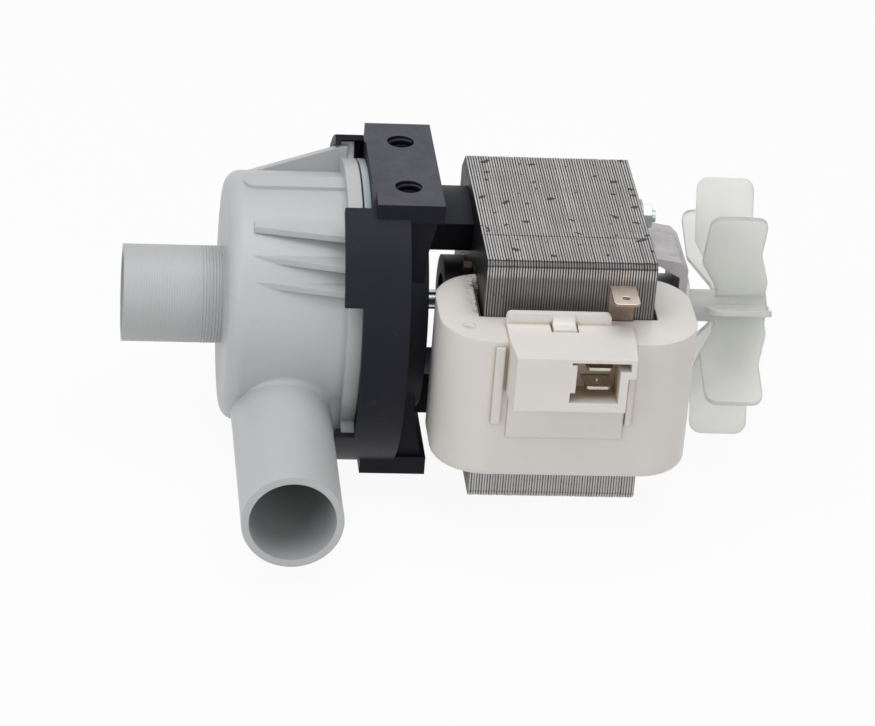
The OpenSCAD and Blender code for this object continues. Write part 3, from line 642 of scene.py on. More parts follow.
@dataclass(frozen=True)
class SheetSteel(Finish):
    """The cut edges of a stack of steel sheets, with oil stains, a dark oxide layer and painted shade on the
    end sheets, painted shade on the front bevel and painted light on the lower part.

    Attributes:
        fracture: The colour of the torn half of each edge.
        stain: The colour of the oil and of the dark lines.
        oxide_and_shade: The colour of the sheets' faces: a dark oxide layer, made darker as painted shade.
        veil: The colour of the film on the front.
        seam_mm: Where the two stacks meet along Y, and how far the oil reaches from there.
        bevel_y_mm: Where the bevel of the front edge starts along Y, and how far its dark line reaches from
            there.
        bevel_z_mm: The same for the line where it ends, along Z.
        lower_mm: The same for the line at the lower edge, along Z.
        top_mm: The heights at which the top starts and is reached.
        veil_mm: The height below which the film lies, and the depth of its upper edge.
        veil_start_mm: The heights at which the upper film starts and is whole.
        veil_under_mm: The heights at which the lower film starts and is whole.
        lit_from_below_mm: The heights at which painted light from the floor starts on the lower part and is
            strongest.
        scratch_mm: Where the scratches at the bracket's end stop along X, and where they are thick.
    """

    fracture: Colour = (0.035, 0.035, 0.036)
    stain: Colour = (0.02, 0.02, 0.02)
    oxide_and_shade: Colour = (0.012, 0.012, 0.014)
    veil: Colour = (0.155, 0.152, 0.147)
    seam_mm: tuple[float, float] = (-27.5, 0.4)
    bevel_y_mm: tuple[float, float] = (-40.5, 0.32)
    bevel_z_mm: tuple[float, float] = (31.0, 0.32)
    lower_mm: tuple[float, float] = (-30.4, 0.3)
    top_mm: tuple[float, float] = (31.5, 31.9)
    veil_mm: tuple[float, float] = (27.4, 1.6)
    veil_start_mm: tuple[float, float] = (-6.0, 6.0)
    veil_under_mm: tuple[float, float] = (-10.0, -18.0)
    lit_from_below_mm: tuple[float, float] = (-10.0, -22.0)
    scratch_mm: tuple[float, float] = (93.0, 85.0)

    def paint(self, paint: Paint) -> bpy.types.Material:
        """Write the nodes of the finish.

        Args:
            paint: The new material.

        Returns:
            The finished material.
        """
        tint = paint.attribute("sheet_tint")
        torn = paint.attribute("torn")
        flat = paint.attribute("flat")
        scuff = paint.noise(2.2, 5.0, 0.7, (0.25, 1.0, 1.0))
        film = paint.noise(11.0, 4.0, 0.6, shift=3.1).span(0.40, 0.72)
        steel = paint.mix(tint, shade(self.colour, 0.86), shade(self.colour, 1.1))
        steel = paint.mix(scuff.swing(1.6) + 0.2, steel, shade(self.colour, 0.6))
        steel = paint.mix(torn * 0.86, steel, self.fracture)
        steel = paint.mix(film * 0.22, steel, shade(self.colour, 0.4))
        steel = paint.mix(self._film(paint) * 0.7, steel, self.veil)
        # Painted shade on the front bevel, which faces up and forward, to dim the lamp's reflection there.
        painted_bevel_shade = paint.facing(Axis.Z).span(0.3, 0.5) * paint.facing(Axis.Y).span(-0.3, -0.5)
        steel = paint.mix(painted_bevel_shade * 0.8, steel, shade(self.colour, 0.16))
        steel = paint.mix(self._stains(paint), steel, self.stain)
        # Painted light from the floor: the lower part is painted brighter.
        bright = paint.along(Axis.Z).span(*self.lit_from_below_mm)
        steel = paint.mix(bright * 0.4, steel, shade(self.colour, 1.1))
        # The sheets' faces: a dark oxide layer, darkened further as painted shade.
        steel = paint.mix(flat, steel, paint.mix(scuff.span(0.5, 0.8), self.oxide_and_shade, shade(self.oxide_and_shade, 2.6)))
        sockets = {
            "Base Color": steel,
            "Metallic": 0.75 - flat * 0.6,
            "Roughness": self.roughness + scuff.swing(0.3) + film * 0.1,
            "Specular IOR Level": 0.25,
            "Normal": paint.bump(paint.noise(0.35, 3.0), 0.01),
        }
        return paint.surface(sockets)

    def _film(self, paint: Paint) -> Value:
        """Find the dull film on the front of the stack.

        Args:
            paint: The new material.

        Returns:
            1 where it is thick and 0 where there is none.
        """
        upper = paint.along(Axis.Z).span(*self.veil_start_mm)
        upper = upper * paint.along(Axis.Z).span(self.veil_mm[0] + self.veil_mm[1], self.veil_mm[0])
        lower = paint.along(Axis.Z).span(*self.veil_under_mm) * 0.35
        return (upper + lower) * paint.facing(Axis.Y).span(-0.8, -0.98)

    def _stains(self, paint: Paint) -> Value:
        """Find the dark marks: oil spots on top, scratches, the seam of the two stacks, and dark lines along
        the edges of the front.

        Args:
            paint: The new material.

        Returns:
            The share of the oil's colour.
        """
        spots = paint.noise(3.1, 1.0, 0.4, (0.9, 1.0, 1.0), 5.7).span(0.68, 0.71) * 0.85
        spots = spots * paint.facing(Axis.Z).span(0.6, 0.9)
        left = paint.along(Axis.X).span(*self.scratch_mm)
        scratches = paint.noise(1.6, 5.0, 0.7, (1.0, 0.4, 0.4), 8.1).span(0.60, 0.70) * left * 0.8
        seam = paint.near(Axis.Y, *self.seam_mm) * 0.45
        above = paint.near(Axis.Y, *self.bevel_y_mm) * paint.along(Axis.Z).span(*self.top_mm)
        below = paint.near(Axis.Z, *self.bevel_z_mm) + paint.near(Axis.Z, *self.lower_mm)
        below = below * paint.facing(Axis.Y).span(-0.2, -0.6)
        return spots + scratches + seam + above * 0.7 + below * 0.7


@dataclass(frozen=True)
class BareMetal(Finish):
    """Bare or plated metal.

    Attributes:
        metallic: How metallic it is.
        grain_mm: The size of its grain.
        grain_depth_mm: The depth of its grain.
        draw: The stretch of its grain along X, Y and Z.
        tarnish: The colour of its stains.
        tarnish_share: How strong they are.
        upright_shade_share: How much darker the upright faces are painted, in the tarnish colour: painted
            shade.
    """

    metallic: float = 1.0
    grain_mm: float = 0.4
    grain_depth_mm: float = 0.006
    draw: Colour = (1.0, 1.0, 1.0)
    tarnish: Colour = (0.10, 0.09, 0.08)
    tarnish_share: float = 0.3
    upright_shade_share: float = 0.0

    def paint(self, paint: Paint) -> bpy.types.Material:
        """Write the nodes of the finish.

        Args:
            paint: The new material.

        Returns:
            The finished material.
        """
        cloud = paint.noise(5.0, 4.0)
        grain = paint.noise(self.grain_mm, 4.0, 0.6, self.draw)
        stains = paint.blotches(3.5, 2.3).span(0.52, 0.74)
        tone = cloud.swing(1.6) + grain.swing(1.0) + 0.5
        base = paint.mix(tone, shade(self.colour, 0.82), shade(self.colour, 1.15))
        base = paint.mix(stains * self.tarnish_share, base, self.tarnish)
        # Upright faces painted darker: painted shade.
        if self.upright_shade_share:
            base = paint.mix(paint.facing(Axis.Z).span(0.9, 0.4) * self.upright_shade_share, base, self.tarnish)
        # Edges painted lighter: a painted highlight, with some wear.
        base = paint.mix(paint.edges(self.edge_mm) * 0.4, base, shade(self.colour, 1.4))
        sockets = {
            "Base Color": base,
            "Metallic": self.metallic,
            "Roughness": self.roughness + grain.swing(0.25) + stains * 0.12,
            "Normal": paint.bump(grain, self.grain_depth_mm, paint.rounded(self.edge_mm)),
        }
        return paint.surface(sockets)


@dataclass(frozen=True)
class Rubber(Finish):
    """Dull rubber with a bloom on it."""

    def paint(self, paint: Paint) -> bpy.types.Material:
        """Write the nodes of the finish.

        Args:
            paint: The new material.

        Returns:
            The finished material.
        """
        bloom = paint.noise(4.0, 5.0, 0.65)
        grain = paint.noise(0.3, 3.0)
        sockets = {
            "Base Color": paint.mix(bloom.span(0.4, 0.75) * 0.5, self.colour, shade(self.colour, 2.2)),
            "Roughness": self.roughness + grain.swing(0.2),
            "Normal": paint.bump(grain, 0.015),
        }
        return paint.surface(sockets)


@dataclass(frozen=True)
class Felt(Finish):
    """Pressed felt, soaked with oil."""

    def paint(self, paint: Paint) -> bpy.types.Material:
        """Write the nodes of the finish.

        Args:
            paint: The new material.

        Returns:
            The finished material.
        """
        fibres = paint.noise(0.25, 6.0, 0.8, (1.0, 0.3, 1.0))
        soak = paint.noise(3.0, 3.0)
        base = paint.mix(fibres.span(0.3, 0.7), shade(self.colour, 0.6), shade(self.colour, 1.25))
        sockets = {
            "Base Color": paint.mix(soak.span(0.45, 0.75) * 0.6, base, shade(self.colour, 0.35)),
            "Roughness": self.roughness + fibres.swing(0.1),
            "Normal": paint.bump(fibres, 0.08),
            "Sheen Weight": 0.3,
        }
        return paint.surface(sockets)


@dataclass(frozen=True)
class LayeredMetal(Finish):
    """Thin layers along an axis: turns of wire, or sheets of a rotor.

    Attributes:
        axis: The axis that the layers follow.
        layer_mm: The thickness of a layer.
        gap: The colour between two layers.
        metallic: How metallic it is.
    """

    axis: Axis = Axis.X
    layer_mm: float = 0.65
    gap: Colour = (0.02, 0.02, 0.02)
    metallic: float = 0.8

    def paint(self, paint: Paint) -> bpy.types.Material:
        """Write the nodes of the finish.

        Args:
            paint: The new material.

        Returns:
            The finished material.
        """
        wave = (paint.along(self.axis) * (2 * math.pi / self.layer_mm)).sine() * 0.5 + 0.5
        cloud = paint.noise(4.0, 4.0)
        base = paint.mix(cloud.span(0.3, 0.7), shade(self.colour, 0.75), shade(self.colour, 1.2))
        sockets = {
            "Base Color": paint.mix(wave.span(0.25, 0.0) * 0.85, base, self.gap),
            "Metallic": self.metallic,
            "Roughness": self.roughness + cloud.swing(0.3),
            "Normal": paint.bump(wave.span(0.0, 0.8), self.layer_mm * 0.2),
        }
        return paint.surface(sockets)


HOUSING = TurnedPlastic(
    "grey_housing",
    srgb(186, 188, 189),
    roughness=0.42,
    edge_mm=0.5,
    mottle=0.025,
    soil=srgb(120, 122, 120),
    soil_share=0.16,
    glow=0.08,
)
SEAL_PLATE = MouldedPlastic(
    "pale_seal_plate",
    srgb(170, 179, 185),
    roughness=0.36,
    edge_mm=0.25,
    mottle=0.04,
)
RUBBER = Rubber("black_rubber", srgb(24, 24, 26), roughness=0.62)
BRACKET = MouldedPlastic(
    "black_bracket",
    srgb(23, 24, 33),
    roughness=0.5,
    edge_mm=0.3,
    mottle=0.16,
    grain_mm=0.8,
    grain_depth_mm=0.02,
    edge_highlight_gain=0.45,
    soil=srgb(64, 64, 72),
    soil_share=0.22,
    specular=0.16,
    # Its up-facing tops are painted lighter: settled dirt, together with painted top light.
    dust_and_top_light=srgb(87, 86, 97),
    dust_and_top_light_share=0.7,
    dust_and_top_light_above_mm=36.5,
)
BRONZE = BareMetal(
    "sintered_bronze",
    srgb(176, 128, 78),
    roughness=0.5,
    edge_mm=0.2,
    metallic=0.9,
    grain_mm=0.25,
    grain_depth_mm=0.02,
)
FELT = Felt("felt", srgb(150, 138, 116), roughness=0.9)
SPRING_STEEL = BareMetal("spring_steel", srgb(176, 178, 182), roughness=0.34, edge_mm=0.15)
STACK_STEEL = SheetSteel("lamination_steel", srgb(196, 194, 193), roughness=0.42)
ROTOR_STEEL = LayeredMetal("lamination_steel_rotor", srgb(150, 148, 146), roughness=0.4)
# The shading rings, nearly black: some dark oxide, darkened further as painted shade of the gap by the
# bracket.
SHADED_COPPER = BareMetal(
    "copper",
    srgb(58, 38, 30),
    roughness=0.55,
    edge_mm=0.2,
    metallic=0.4,
    tarnish=srgb(28, 20, 18),
    tarnish_share=0.7,
)
WIRE = LayeredMetal(
    "enamelled_wire", srgb(170, 84, 48), roughness=0.3, axis=Axis.Z, layer_mm=0.35, gap=srgb(60, 26, 16)
)
# The bobbin shows in the dark gap by the stack; its black is oily dirt, together with painted shade.
BOBBIN = OilAndShadePlastic(
    "cream_bobbin",
    srgb(222, 212, 190),
    roughness=0.4,
    edge_mm=0.25,
    soil=srgb(34, 31, 28),
    soil_share=0.92,
)
COVER = CoverPlastic(
    "warm_white_cover",
    srgb(222, 218, 213),
    roughness=0.4,
    edge_mm=0.7,
    mottle=0.02,
    soil=srgb(60, 56, 52),
    soil_share=0.85,
    glow=0.15,
    # Its corners are painted darker: dirt, together with painted shade.
    grime_and_crease_shade=srgb(168, 146, 110),
    grime_and_crease_shade_share=0.8,
)
CONNECTOR = SocketPlastic(
    "white_connector",
    srgb(226, 223, 218),
    roughness=0.4,
    edge_mm=0.25,
    mottle=0.02,
    # The socket's brown deepens inwards, partly as painted shade.
    soil=srgb(166, 130, 92),
    soil_share=0.9,
    glow=0.12,
    # Its corners are painted darker: dirt, together with painted shade.
    grime_and_crease_shade=srgb(178, 154, 116),
    grime_and_crease_shade_share=0.75,
)
ALONG_BLADE = (1.0, 0.15, 1.0)
TIN = BareMetal(
    "tinned_blade",
    srgb(198, 194, 184),
    roughness=0.3,
    edge_mm=0.15,
    draw=ALONG_BLADE,
    tarnish=srgb(120, 104, 80),
)
EARTH_TIN = BareMetal(
    "tinned_earth_blade",
    srgb(228, 213, 201),
    roughness=0.38,
    edge_mm=0.2,
    metallic=0.85,
    draw=ALONG_BLADE,
    tarnish=srgb(104, 84, 68),
    tarnish_share=0.35,
    # Its upright leg is painted darker: painted shade.
    upright_shade_share=0.75,
)
CAST = BareMetal(
    "cast_bridge",
    srgb(184, 182, 184),
    roughness=0.55,
    edge_mm=0.4,
    metallic=0.6,
    grain_mm=0.7,
    grain_depth_mm=0.05,
    tarnish=srgb(96, 94, 92),
    tarnish_share=0.45,
)
ZINC = BareMetal(
    "zinc_plate",
    srgb(168, 176, 173),
    roughness=0.32,
    edge_mm=0.2,
    tarnish=srgb(110, 116, 112),
)
GROUND_STEEL = BareMetal(
    "ground_steel",
    srgb(196, 198, 200),
    roughness=0.22,
    edge_mm=0.15,
    draw=(3.0, 0.2, 0.2),
)
# The rotor cage, dark: painted shade of the gap by the bracket, with some dark oxide.
SHADED_CAGE = BareMetal(
    "cast_cage",
    srgb(58, 58, 63),
    roughness=0.5,
    edge_mm=0.3,
    metallic=0.7,
    grain_mm=0.6,
    grain_depth_mm=0.02,
)
IMPELLER = MouldedPlastic("white_impeller", srgb(216, 215, 209), roughness=0.4, edge_mm=0.3)
WASHER = MouldedPlastic("brown_washer", srgb(110, 70, 40), roughness=0.5, edge_mm=0.15)
FAN = TranslucentPlastic("translucent_fan", srgb(246, 247, 243), roughness=0.5, edge_mm=0.45)


class Pieces:
    """Makes pieces and hands them to the frame."""

    @staticmethod
    def empty(name: str) -> bpy.types.Object:
        """Make an object with an empty mesh, linked to the scene.

        Args:
            name: The name of both.

        Returns:
            The object.
        """
        piece = bpy.data.objects.new(name, bpy.data.meshes.new(name))
        bpy.context.collection.objects.link(piece)
        return piece

    @staticmethod
    def joined_mesh(node: str) -> bmesh.types.BMesh:
        """Copy a solid's mesh, joined up and with its flat faces whole.

        Args:
            node: The solid.

        Returns:
            The copy, which the caller frees.
        """
        merge_mm = 0.01
        flat_angle = math.radians(0.5)
        mesh = bmesh.new()
        mesh.from_mesh(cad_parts[node].data)
        bmesh.ops.remove_doubles(mesh, verts=mesh.verts, dist=merge_mm * MM)
        bmesh.ops.dissolve_limit(
            mesh, angle_limit=flat_angle, use_dissolve_boundaries=False, verts=mesh.verts, edges=mesh.edges
        )
        return mesh

    @staticmethod
    def bevel(
        mesh: bmesh.types.BMesh, edges: Sequence[bmesh.types.BMEdge], width_mm: float, segments: int
    ) -> None:
        """Round off some edges of a mesh.

        Args:
            mesh: The mesh.
            edges: The edges.
            width_mm: How far the rounding reaches from an edge.
            segments: How many faces it has.
        """
        bmesh.ops.bevel(
            mesh,
            geom=edges,
            offset=width_mm * MM,
            offset_type="OFFSET",
            segments=segments,
            profile=0.5,
            affect="EDGES",
        )

    @classmethod
    def round_corners(cls, mesh: bmesh.types.BMesh, way: Vector, radius_mm: float) -> None:
        """Round the corners of the end of a flat piece, at the edges that run through its thickness.

        Args:
            mesh: The piece; its thickness is at right angles to X and to the way.
            way: The direction in which the end lies, along Y or Z.
            radius_mm: The radius of the corners.
        """
        end_mm = 0.2
        same_place = 1e-6
        end = max(vert.co.dot(way) for vert in mesh.verts) - end_mm * MM
        edges = [edge for edge in mesh.edges if all(vert.co.dot(way) > end for vert in edge.verts)]
        across = [edge for edge in edges if abs(edge.verts[0].co.x - edge.verts[1].co.x) < same_place]
        cls.bevel(mesh, across, radius_mm, segments=5)

    @classmethod
    def soften(
        cls,
        node: str,
        name: str,
        body: Body,
        finish: Finish,
        width_mm: float,
        segments: int = 2,
        shape: Optional[Callable[[bmesh.types.BMesh], None]] = None,
    ) -> None:
        """Put a copy with rounded edges in the place of a solid.

        Args:
            node: The solid.
            name: The new piece's name.
            body: The body that it rides on.
            finish: Its finish.
            width_mm: How far the rounding reaches from an edge.
            segments: How many faces it has.
            shape: What is done to the copy first.
        """
        piece = cls.empty(name)
        mesh = cls.joined_mesh(node)
        if shape is not None:
            shape(mesh)
        mesh.to_mesh(piece.data)
        mesh.free()
        cls.smooth(piece.data)
        bevel = piece.modifiers.new("soft_edges", "BEVEL")
        bevel.width = width_mm * MM
        bevel.segments = segments
        bevel.limit_method = "ANGLE"
        bevel.angle_limit = math.radians(SHARP_DEGREES)
        bevel.use_clamp_overlap = True
        bevel.miter_outer = "MITER_ARC"
        bevel.harden_normals = True
        cls.place(piece, body, finish, node)

    @classmethod
    def band(
        cls, name: str, rows: Sequence[Sequence[Vector]], ring: bool = False, angle: float = 40.0
    ) -> bpy.types.Object:
        """Join sections into a closed piece.

        Args:
            name: The piece's name.
            rows: The sections, in metres, each with as many points.
            ring: Whether the last section joins the first; otherwise both ends are closed.
            angle: The angle above which its edges are sharp, in degrees.

        Returns:
            The piece.
        """
        piece = cls.empty(name)
        mesh = bmesh.new()
        verts = [[mesh.verts.new(point) for point in row] for row in rows]
        pairs = list(zip(verts, verts[1:]))
        if ring:
            pairs.append((verts[-1], verts[0]))
        else:
            mesh.faces.new(verts[0])
            mesh.faces.new(list(reversed(verts[-1])))
        count = len(verts[0])
        for row, after in pairs:
            for index in range(count):
                beside = (index + 1) % count
                mesh.faces.new((row[index], row[beside], after[beside], after[index]))
        bmesh.ops.recalc_face_normals(mesh, faces=mesh.faces)
        mesh.to_mesh(piece.data)
        mesh.free()
        cls.smooth(piece.data, angle)
        return piece

    @staticmethod
    def smooth(mesh: bpy.types.Mesh, angle: float = SHARP_DEGREES) -> None:
        """Shade a mesh smooth, with sharp edges above an angle.

        Args:
            mesh: The mesh.
            angle: The angle, in degrees.
        """
        custom = mesh.attributes.get("custom_normal")
        if custom:
            mesh.attributes.remove(custom)
        mesh.shade_smooth()
        mesh.set_sharp_from_angle(angle=math.radians(angle))

    @staticmethod
    def grown(piece: bpy.types.Object, tree: bpy.types.NodeTree, values: Mapping[str, Any]) -> None:
        """Run a geometry tree on a piece and keep the result as a plain mesh.

        Args:
            piece: The piece, whose mesh is the tree's first input.
            tree: The geometry tree.
            values: Values for the tree's named inputs.
        """
        modifier = piece.modifiers.new("grow", "NODES")
        modifier.node_group = tree
        for item in tree.interface.items_tree:
            if item.item_type == "SOCKET" and item.in_out == "INPUT" and item.name in values:
                modifier[item.identifier] = values[item.name]
        evaluated = piece.evaluated_get(bpy.context.evaluated_depsgraph_get())
        mesh = bpy.data.meshes.new_from_object(evaluated)
        piece.modifiers.remove(modifier)
        piece.data = mesh

    @staticmethod
    def place(piece: bpy.types.Object, body: Body, finish: Finish, *nodes: str) -> None:
        """Dress a piece and hand it to the frame.

        Args:
            piece: The piece.
            body: The body that it rides on.
            finish: Its finish.
            nodes: The solids that it stands for.
        """
        piece.data.materials.clear()
        piece.data.materials.append(finish.material())
        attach(piece, body.value)
        if nodes:
            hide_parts(*nodes)
        LOG.info("%s: %d faces, for %s", piece.name, len(piece.data.polygons), ", ".join(nodes) or "no solid")

    @staticmethod
    def dress(node: str, finish: Finish) -> None:
        """Give a solid that stays as it is its finish.

        Args:
            node: The solid.
            finish: The finish.
        """
        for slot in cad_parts[node].material_slots:
            slot.material = finish.material()
        LOG.info("%s: dressed", node)


class Growth(Graph):
    """Writes a geometry tree with named inputs."""

    def __init__(self, name: str) -> None:
        """Start a tree with a mesh in and a mesh out.

        Args:
            name: The tree's name.
        """
        super().__init__(bpy.data.node_groups.new(name, "GeometryNodeTree"))
        self.tree.interface.new_socket("Geometry", in_out="INPUT", socket_type="NodeSocketGeometry")
        self.tree.interface.new_socket("Geometry", in_out="OUTPUT", socket_type="NodeSocketGeometry")
        self.source = self.node("NodeGroupInput")

    def size(self, name: str, kind: str = "NodeSocketFloat") -> bpy.types.NodeSocket:
        """Add a named input and return its socket."""
        self.tree.interface.new_socket(name, in_out="INPUT", socket_type=kind)
        return self.source.outputs[name]

    def circle(self, sides: int, radius: bpy.types.NodeSocket) -> bpy.types.NodeSocket:
        """Add a circle made of straight sides and return its curve."""
        sockets = {"Resolution": sides, "Radius": radius}
        return self.node("GeometryNodeCurvePrimitiveCircle", {"mode": "RADIUS"}, sockets).outputs[0]

    def copies(
        self, points: bpy.types.NodeSocket, piece: bpy.types.NodeSocket, turn: Any = (0.0, 0.0, 0.0)
    ) -> bpy.types.NodeSocket:
        """Put a copy of a piece on each point.

        Args:
            points: The points.
            piece: The piece.
            turn: How each copy is turned.

        Returns:
            The copies.
        """
        sockets = {"Points": points, "Instance": piece, "Rotation": turn}
        return self.node("GeometryNodeInstanceOnPoints", None, sockets).outputs[0]

    def finish(self, instances: bpy.types.NodeSocket, finish: Finish) -> bpy.types.NodeTree:
        """End the tree: make the copies real and dress them.

        Args:
            instances: The copies.
            finish: Their finish.

        Returns:
            The tree.
        """
        real = self.node("GeometryNodeRealizeInstances", None, {0: instances})
        sockets = {"Geometry": real.outputs[0], "Material": finish.material()}
        dressed = self.node("GeometryNodeSetMaterial", None, sockets)
        self.node("NodeGroupOutput", None, {0: dressed.outputs[0]})
        return self.tree


@dataclass(frozen=True)
class Lamp:
    """A square soft lamp.

    Attributes:
        name: Its name.
        place: Where it hangs, in metres.
        side: The length of its side, in metres.
        power: Its power, in watts.
        target: What it points at, in metres.
    """

    name: str
    place: tuple[float, float, float]
    side: float
    power: float
    target: tuple[float, float, float] = (0.08, -0.02, 0.0)

    def hang(self) -> None:
        """Hang the lamp."""
        data = bpy.data.lights.new(self.name, "AREA")
        data.shape = "SQUARE"
        data.size = self.side
        data.energy = self.power
        lamp = bpy.data.objects.new(self.name, data)
        bpy.context.collection.objects.link(lamp)
        lamp.location = self.place
        beam = Vector(self.target) - Vector(self.place)
        lamp.rotation_euler = beam.to_track_quat("-Z", "Y").to_euler()


@dataclass
class Studio:
    """The camera, the lamps and the floor.

    Attributes:
        eye_mm: Where the camera stands.
        right: The direction that is to the right in the picture.
        up: The direction that is up in the picture, before the aim is moved.
        aim_px: How far the picture's middle is from the camera's own axis, in pixels.
        focal_px: The focal length, in pixels of the picture.
        width_px: The width of the picture.
        sensor_mm: The width of the camera's sensor.
        floor_mm: The height of the floor.
        floor_share: How much of the floor's white is its own light.
        soft_light: The strength of the light that comes from all round.
        lamps: The lamps.
    """

    eye_mm: tuple[float, float, float] = (-35.2, -887.4, 467.8)
    right: tuple[float, float, float] = (0.9931, -0.0913, 0.0741)
    up: tuple[float, float, float] = (-0.0228, 0.4686, 0.8833)
    aim_px: tuple[float, float] = (-12.9, -63.6)
    focal_px: float = 4070.7
    width_px: int = 875
    sensor_mm: float = 36.0
    floor_mm: float = -37.1
    floor_share: float = 0.93
    soft_light: float = 0.34
    lamps: tuple[Lamp, ...] = (
        Lamp("lamp_top", (0.06, -0.10, 0.95), 0.9, 5.8, (0.08, -0.01, 0.0)),
        Lamp("lamp_left", (-0.75, -0.55, 0.55), 0.7, 2.6),
        Lamp("lamp_front", (0.35, -1.15, 0.35), 0.7, 2.0),
    )

    def build(self) -> None:
        """Set up the whole studio."""
        self._camera()
        self._world()
        self._floor()
        for lamp in self.lamps:
            lamp.hang()
        bpy.context.scene.view_settings.view_transform = "Standard"

    def _camera(self) -> None:
        """Put the camera where the photograph was taken from."""
        data = bpy.data.cameras.new("camera")
        data.sensor_fit = "HORIZONTAL"
        data.sensor_width = self.sensor_mm
        data.lens = self.sensor_mm * self.focal_px / self.width_px
        data.clip_start = 0.01
        data.clip_end = 20.0
        camera = bpy.data.objects.new("camera", data)
        bpy.context.collection.objects.link(camera)
        right = Vector(self.right).normalized()
        up = Vector(self.up).normalized()
        back = right.cross(up)
        aim = (right * self.aim_px[0] + up * self.aim_px[1]) / self.focal_px - back
        back = -aim.normalized()
        right = (right - back * right.dot(back)).normalized()
        up = back.cross(right)
        matrix = Matrix((right, up, back)).transposed().to_4x4()
        matrix.translation = Vector(self.eye_mm) * MM
        camera.matrix_world = matrix
        bpy.context.scene.camera = camera

    def _seen(self, graph: Graph) -> bpy.types.NodeSocket:
        """Return 1 where a ray comes from the eye, or from gloss or glass, and 0 elsewhere.

        Args:
            graph: The tree that needs it.

        Returns:
            The output socket.
        """
        path = graph.node("ShaderNodeLightPath")
        seen = path.outputs["Is Camera Ray"]
        for kind in ("Is Glossy Ray", "Is Transmission Ray"):
            sockets = {0: seen, 1: path.outputs[kind]}
            seen = graph.node("ShaderNodeMath", {"operation": "MAXIMUM"}, sockets).outputs[0]
        return seen

    def _world(self) -> None:
        """Surround the object with white, which lights it softly."""
        world = bpy.data.worlds.new("surround")
        bpy.context.scene.world = world
        world.use_nodes = True
        graph = Graph(world.node_tree)
        graph.tree.nodes.clear()
        light = graph.node("ShaderNodeBackground", None, {"Color": WHITE, "Strength": self.soft_light})
        shown = graph.node("ShaderNodeBackground", None, {"Color": WHITE, "Strength": 1.0})
        sockets = {0: self._seen(graph), 1: light.outputs[0], 2: shown.outputs[0]}
        mixed = graph.node("ShaderNodeMixShader", None, sockets)
        graph.node("ShaderNodeOutputWorld", None, {"Surface": mixed.outputs[0]})

    def _floor(self) -> None:
        """Lay a white floor that keeps a faint shadow."""
        cells = 8
        half_side = 3.0
        middle = (0.08, 0.0, self.floor_mm * MM)
        floor = Pieces.empty("floor")
        mesh = bmesh.new()
        bmesh.ops.create_grid(mesh, x_segments=cells, y_segments=cells, size=half_side)
        bmesh.ops.translate(mesh, verts=mesh.verts, vec=middle)
        mesh.to_mesh(floor.data)
        mesh.free()
        paint = Paint("floor_white")
        cloud = paint.noise(60.0, 3.0)
        tone = paint.mix(cloud, (0.80, 0.80, 0.80), (0.82, 0.82, 0.82))
        matt = paint.node("ShaderNodeBsdfDiffuse", None, {"Color": tone})
        glow = paint.node("ShaderNodeEmission", None, {"Color": WHITE, "Strength": 1.0})
        share = Value(paint, self._seen(paint)) * self.floor_share
        mixed = paint.node("ShaderNodeMixShader", None, {0: share, 1: matt.outputs[0], 2: glow.outputs[0]})
        paint.node("ShaderNodeOutputMaterial", None, {"Surface": mixed.outputs[0]})
        floor.data.materials.append(paint.material)


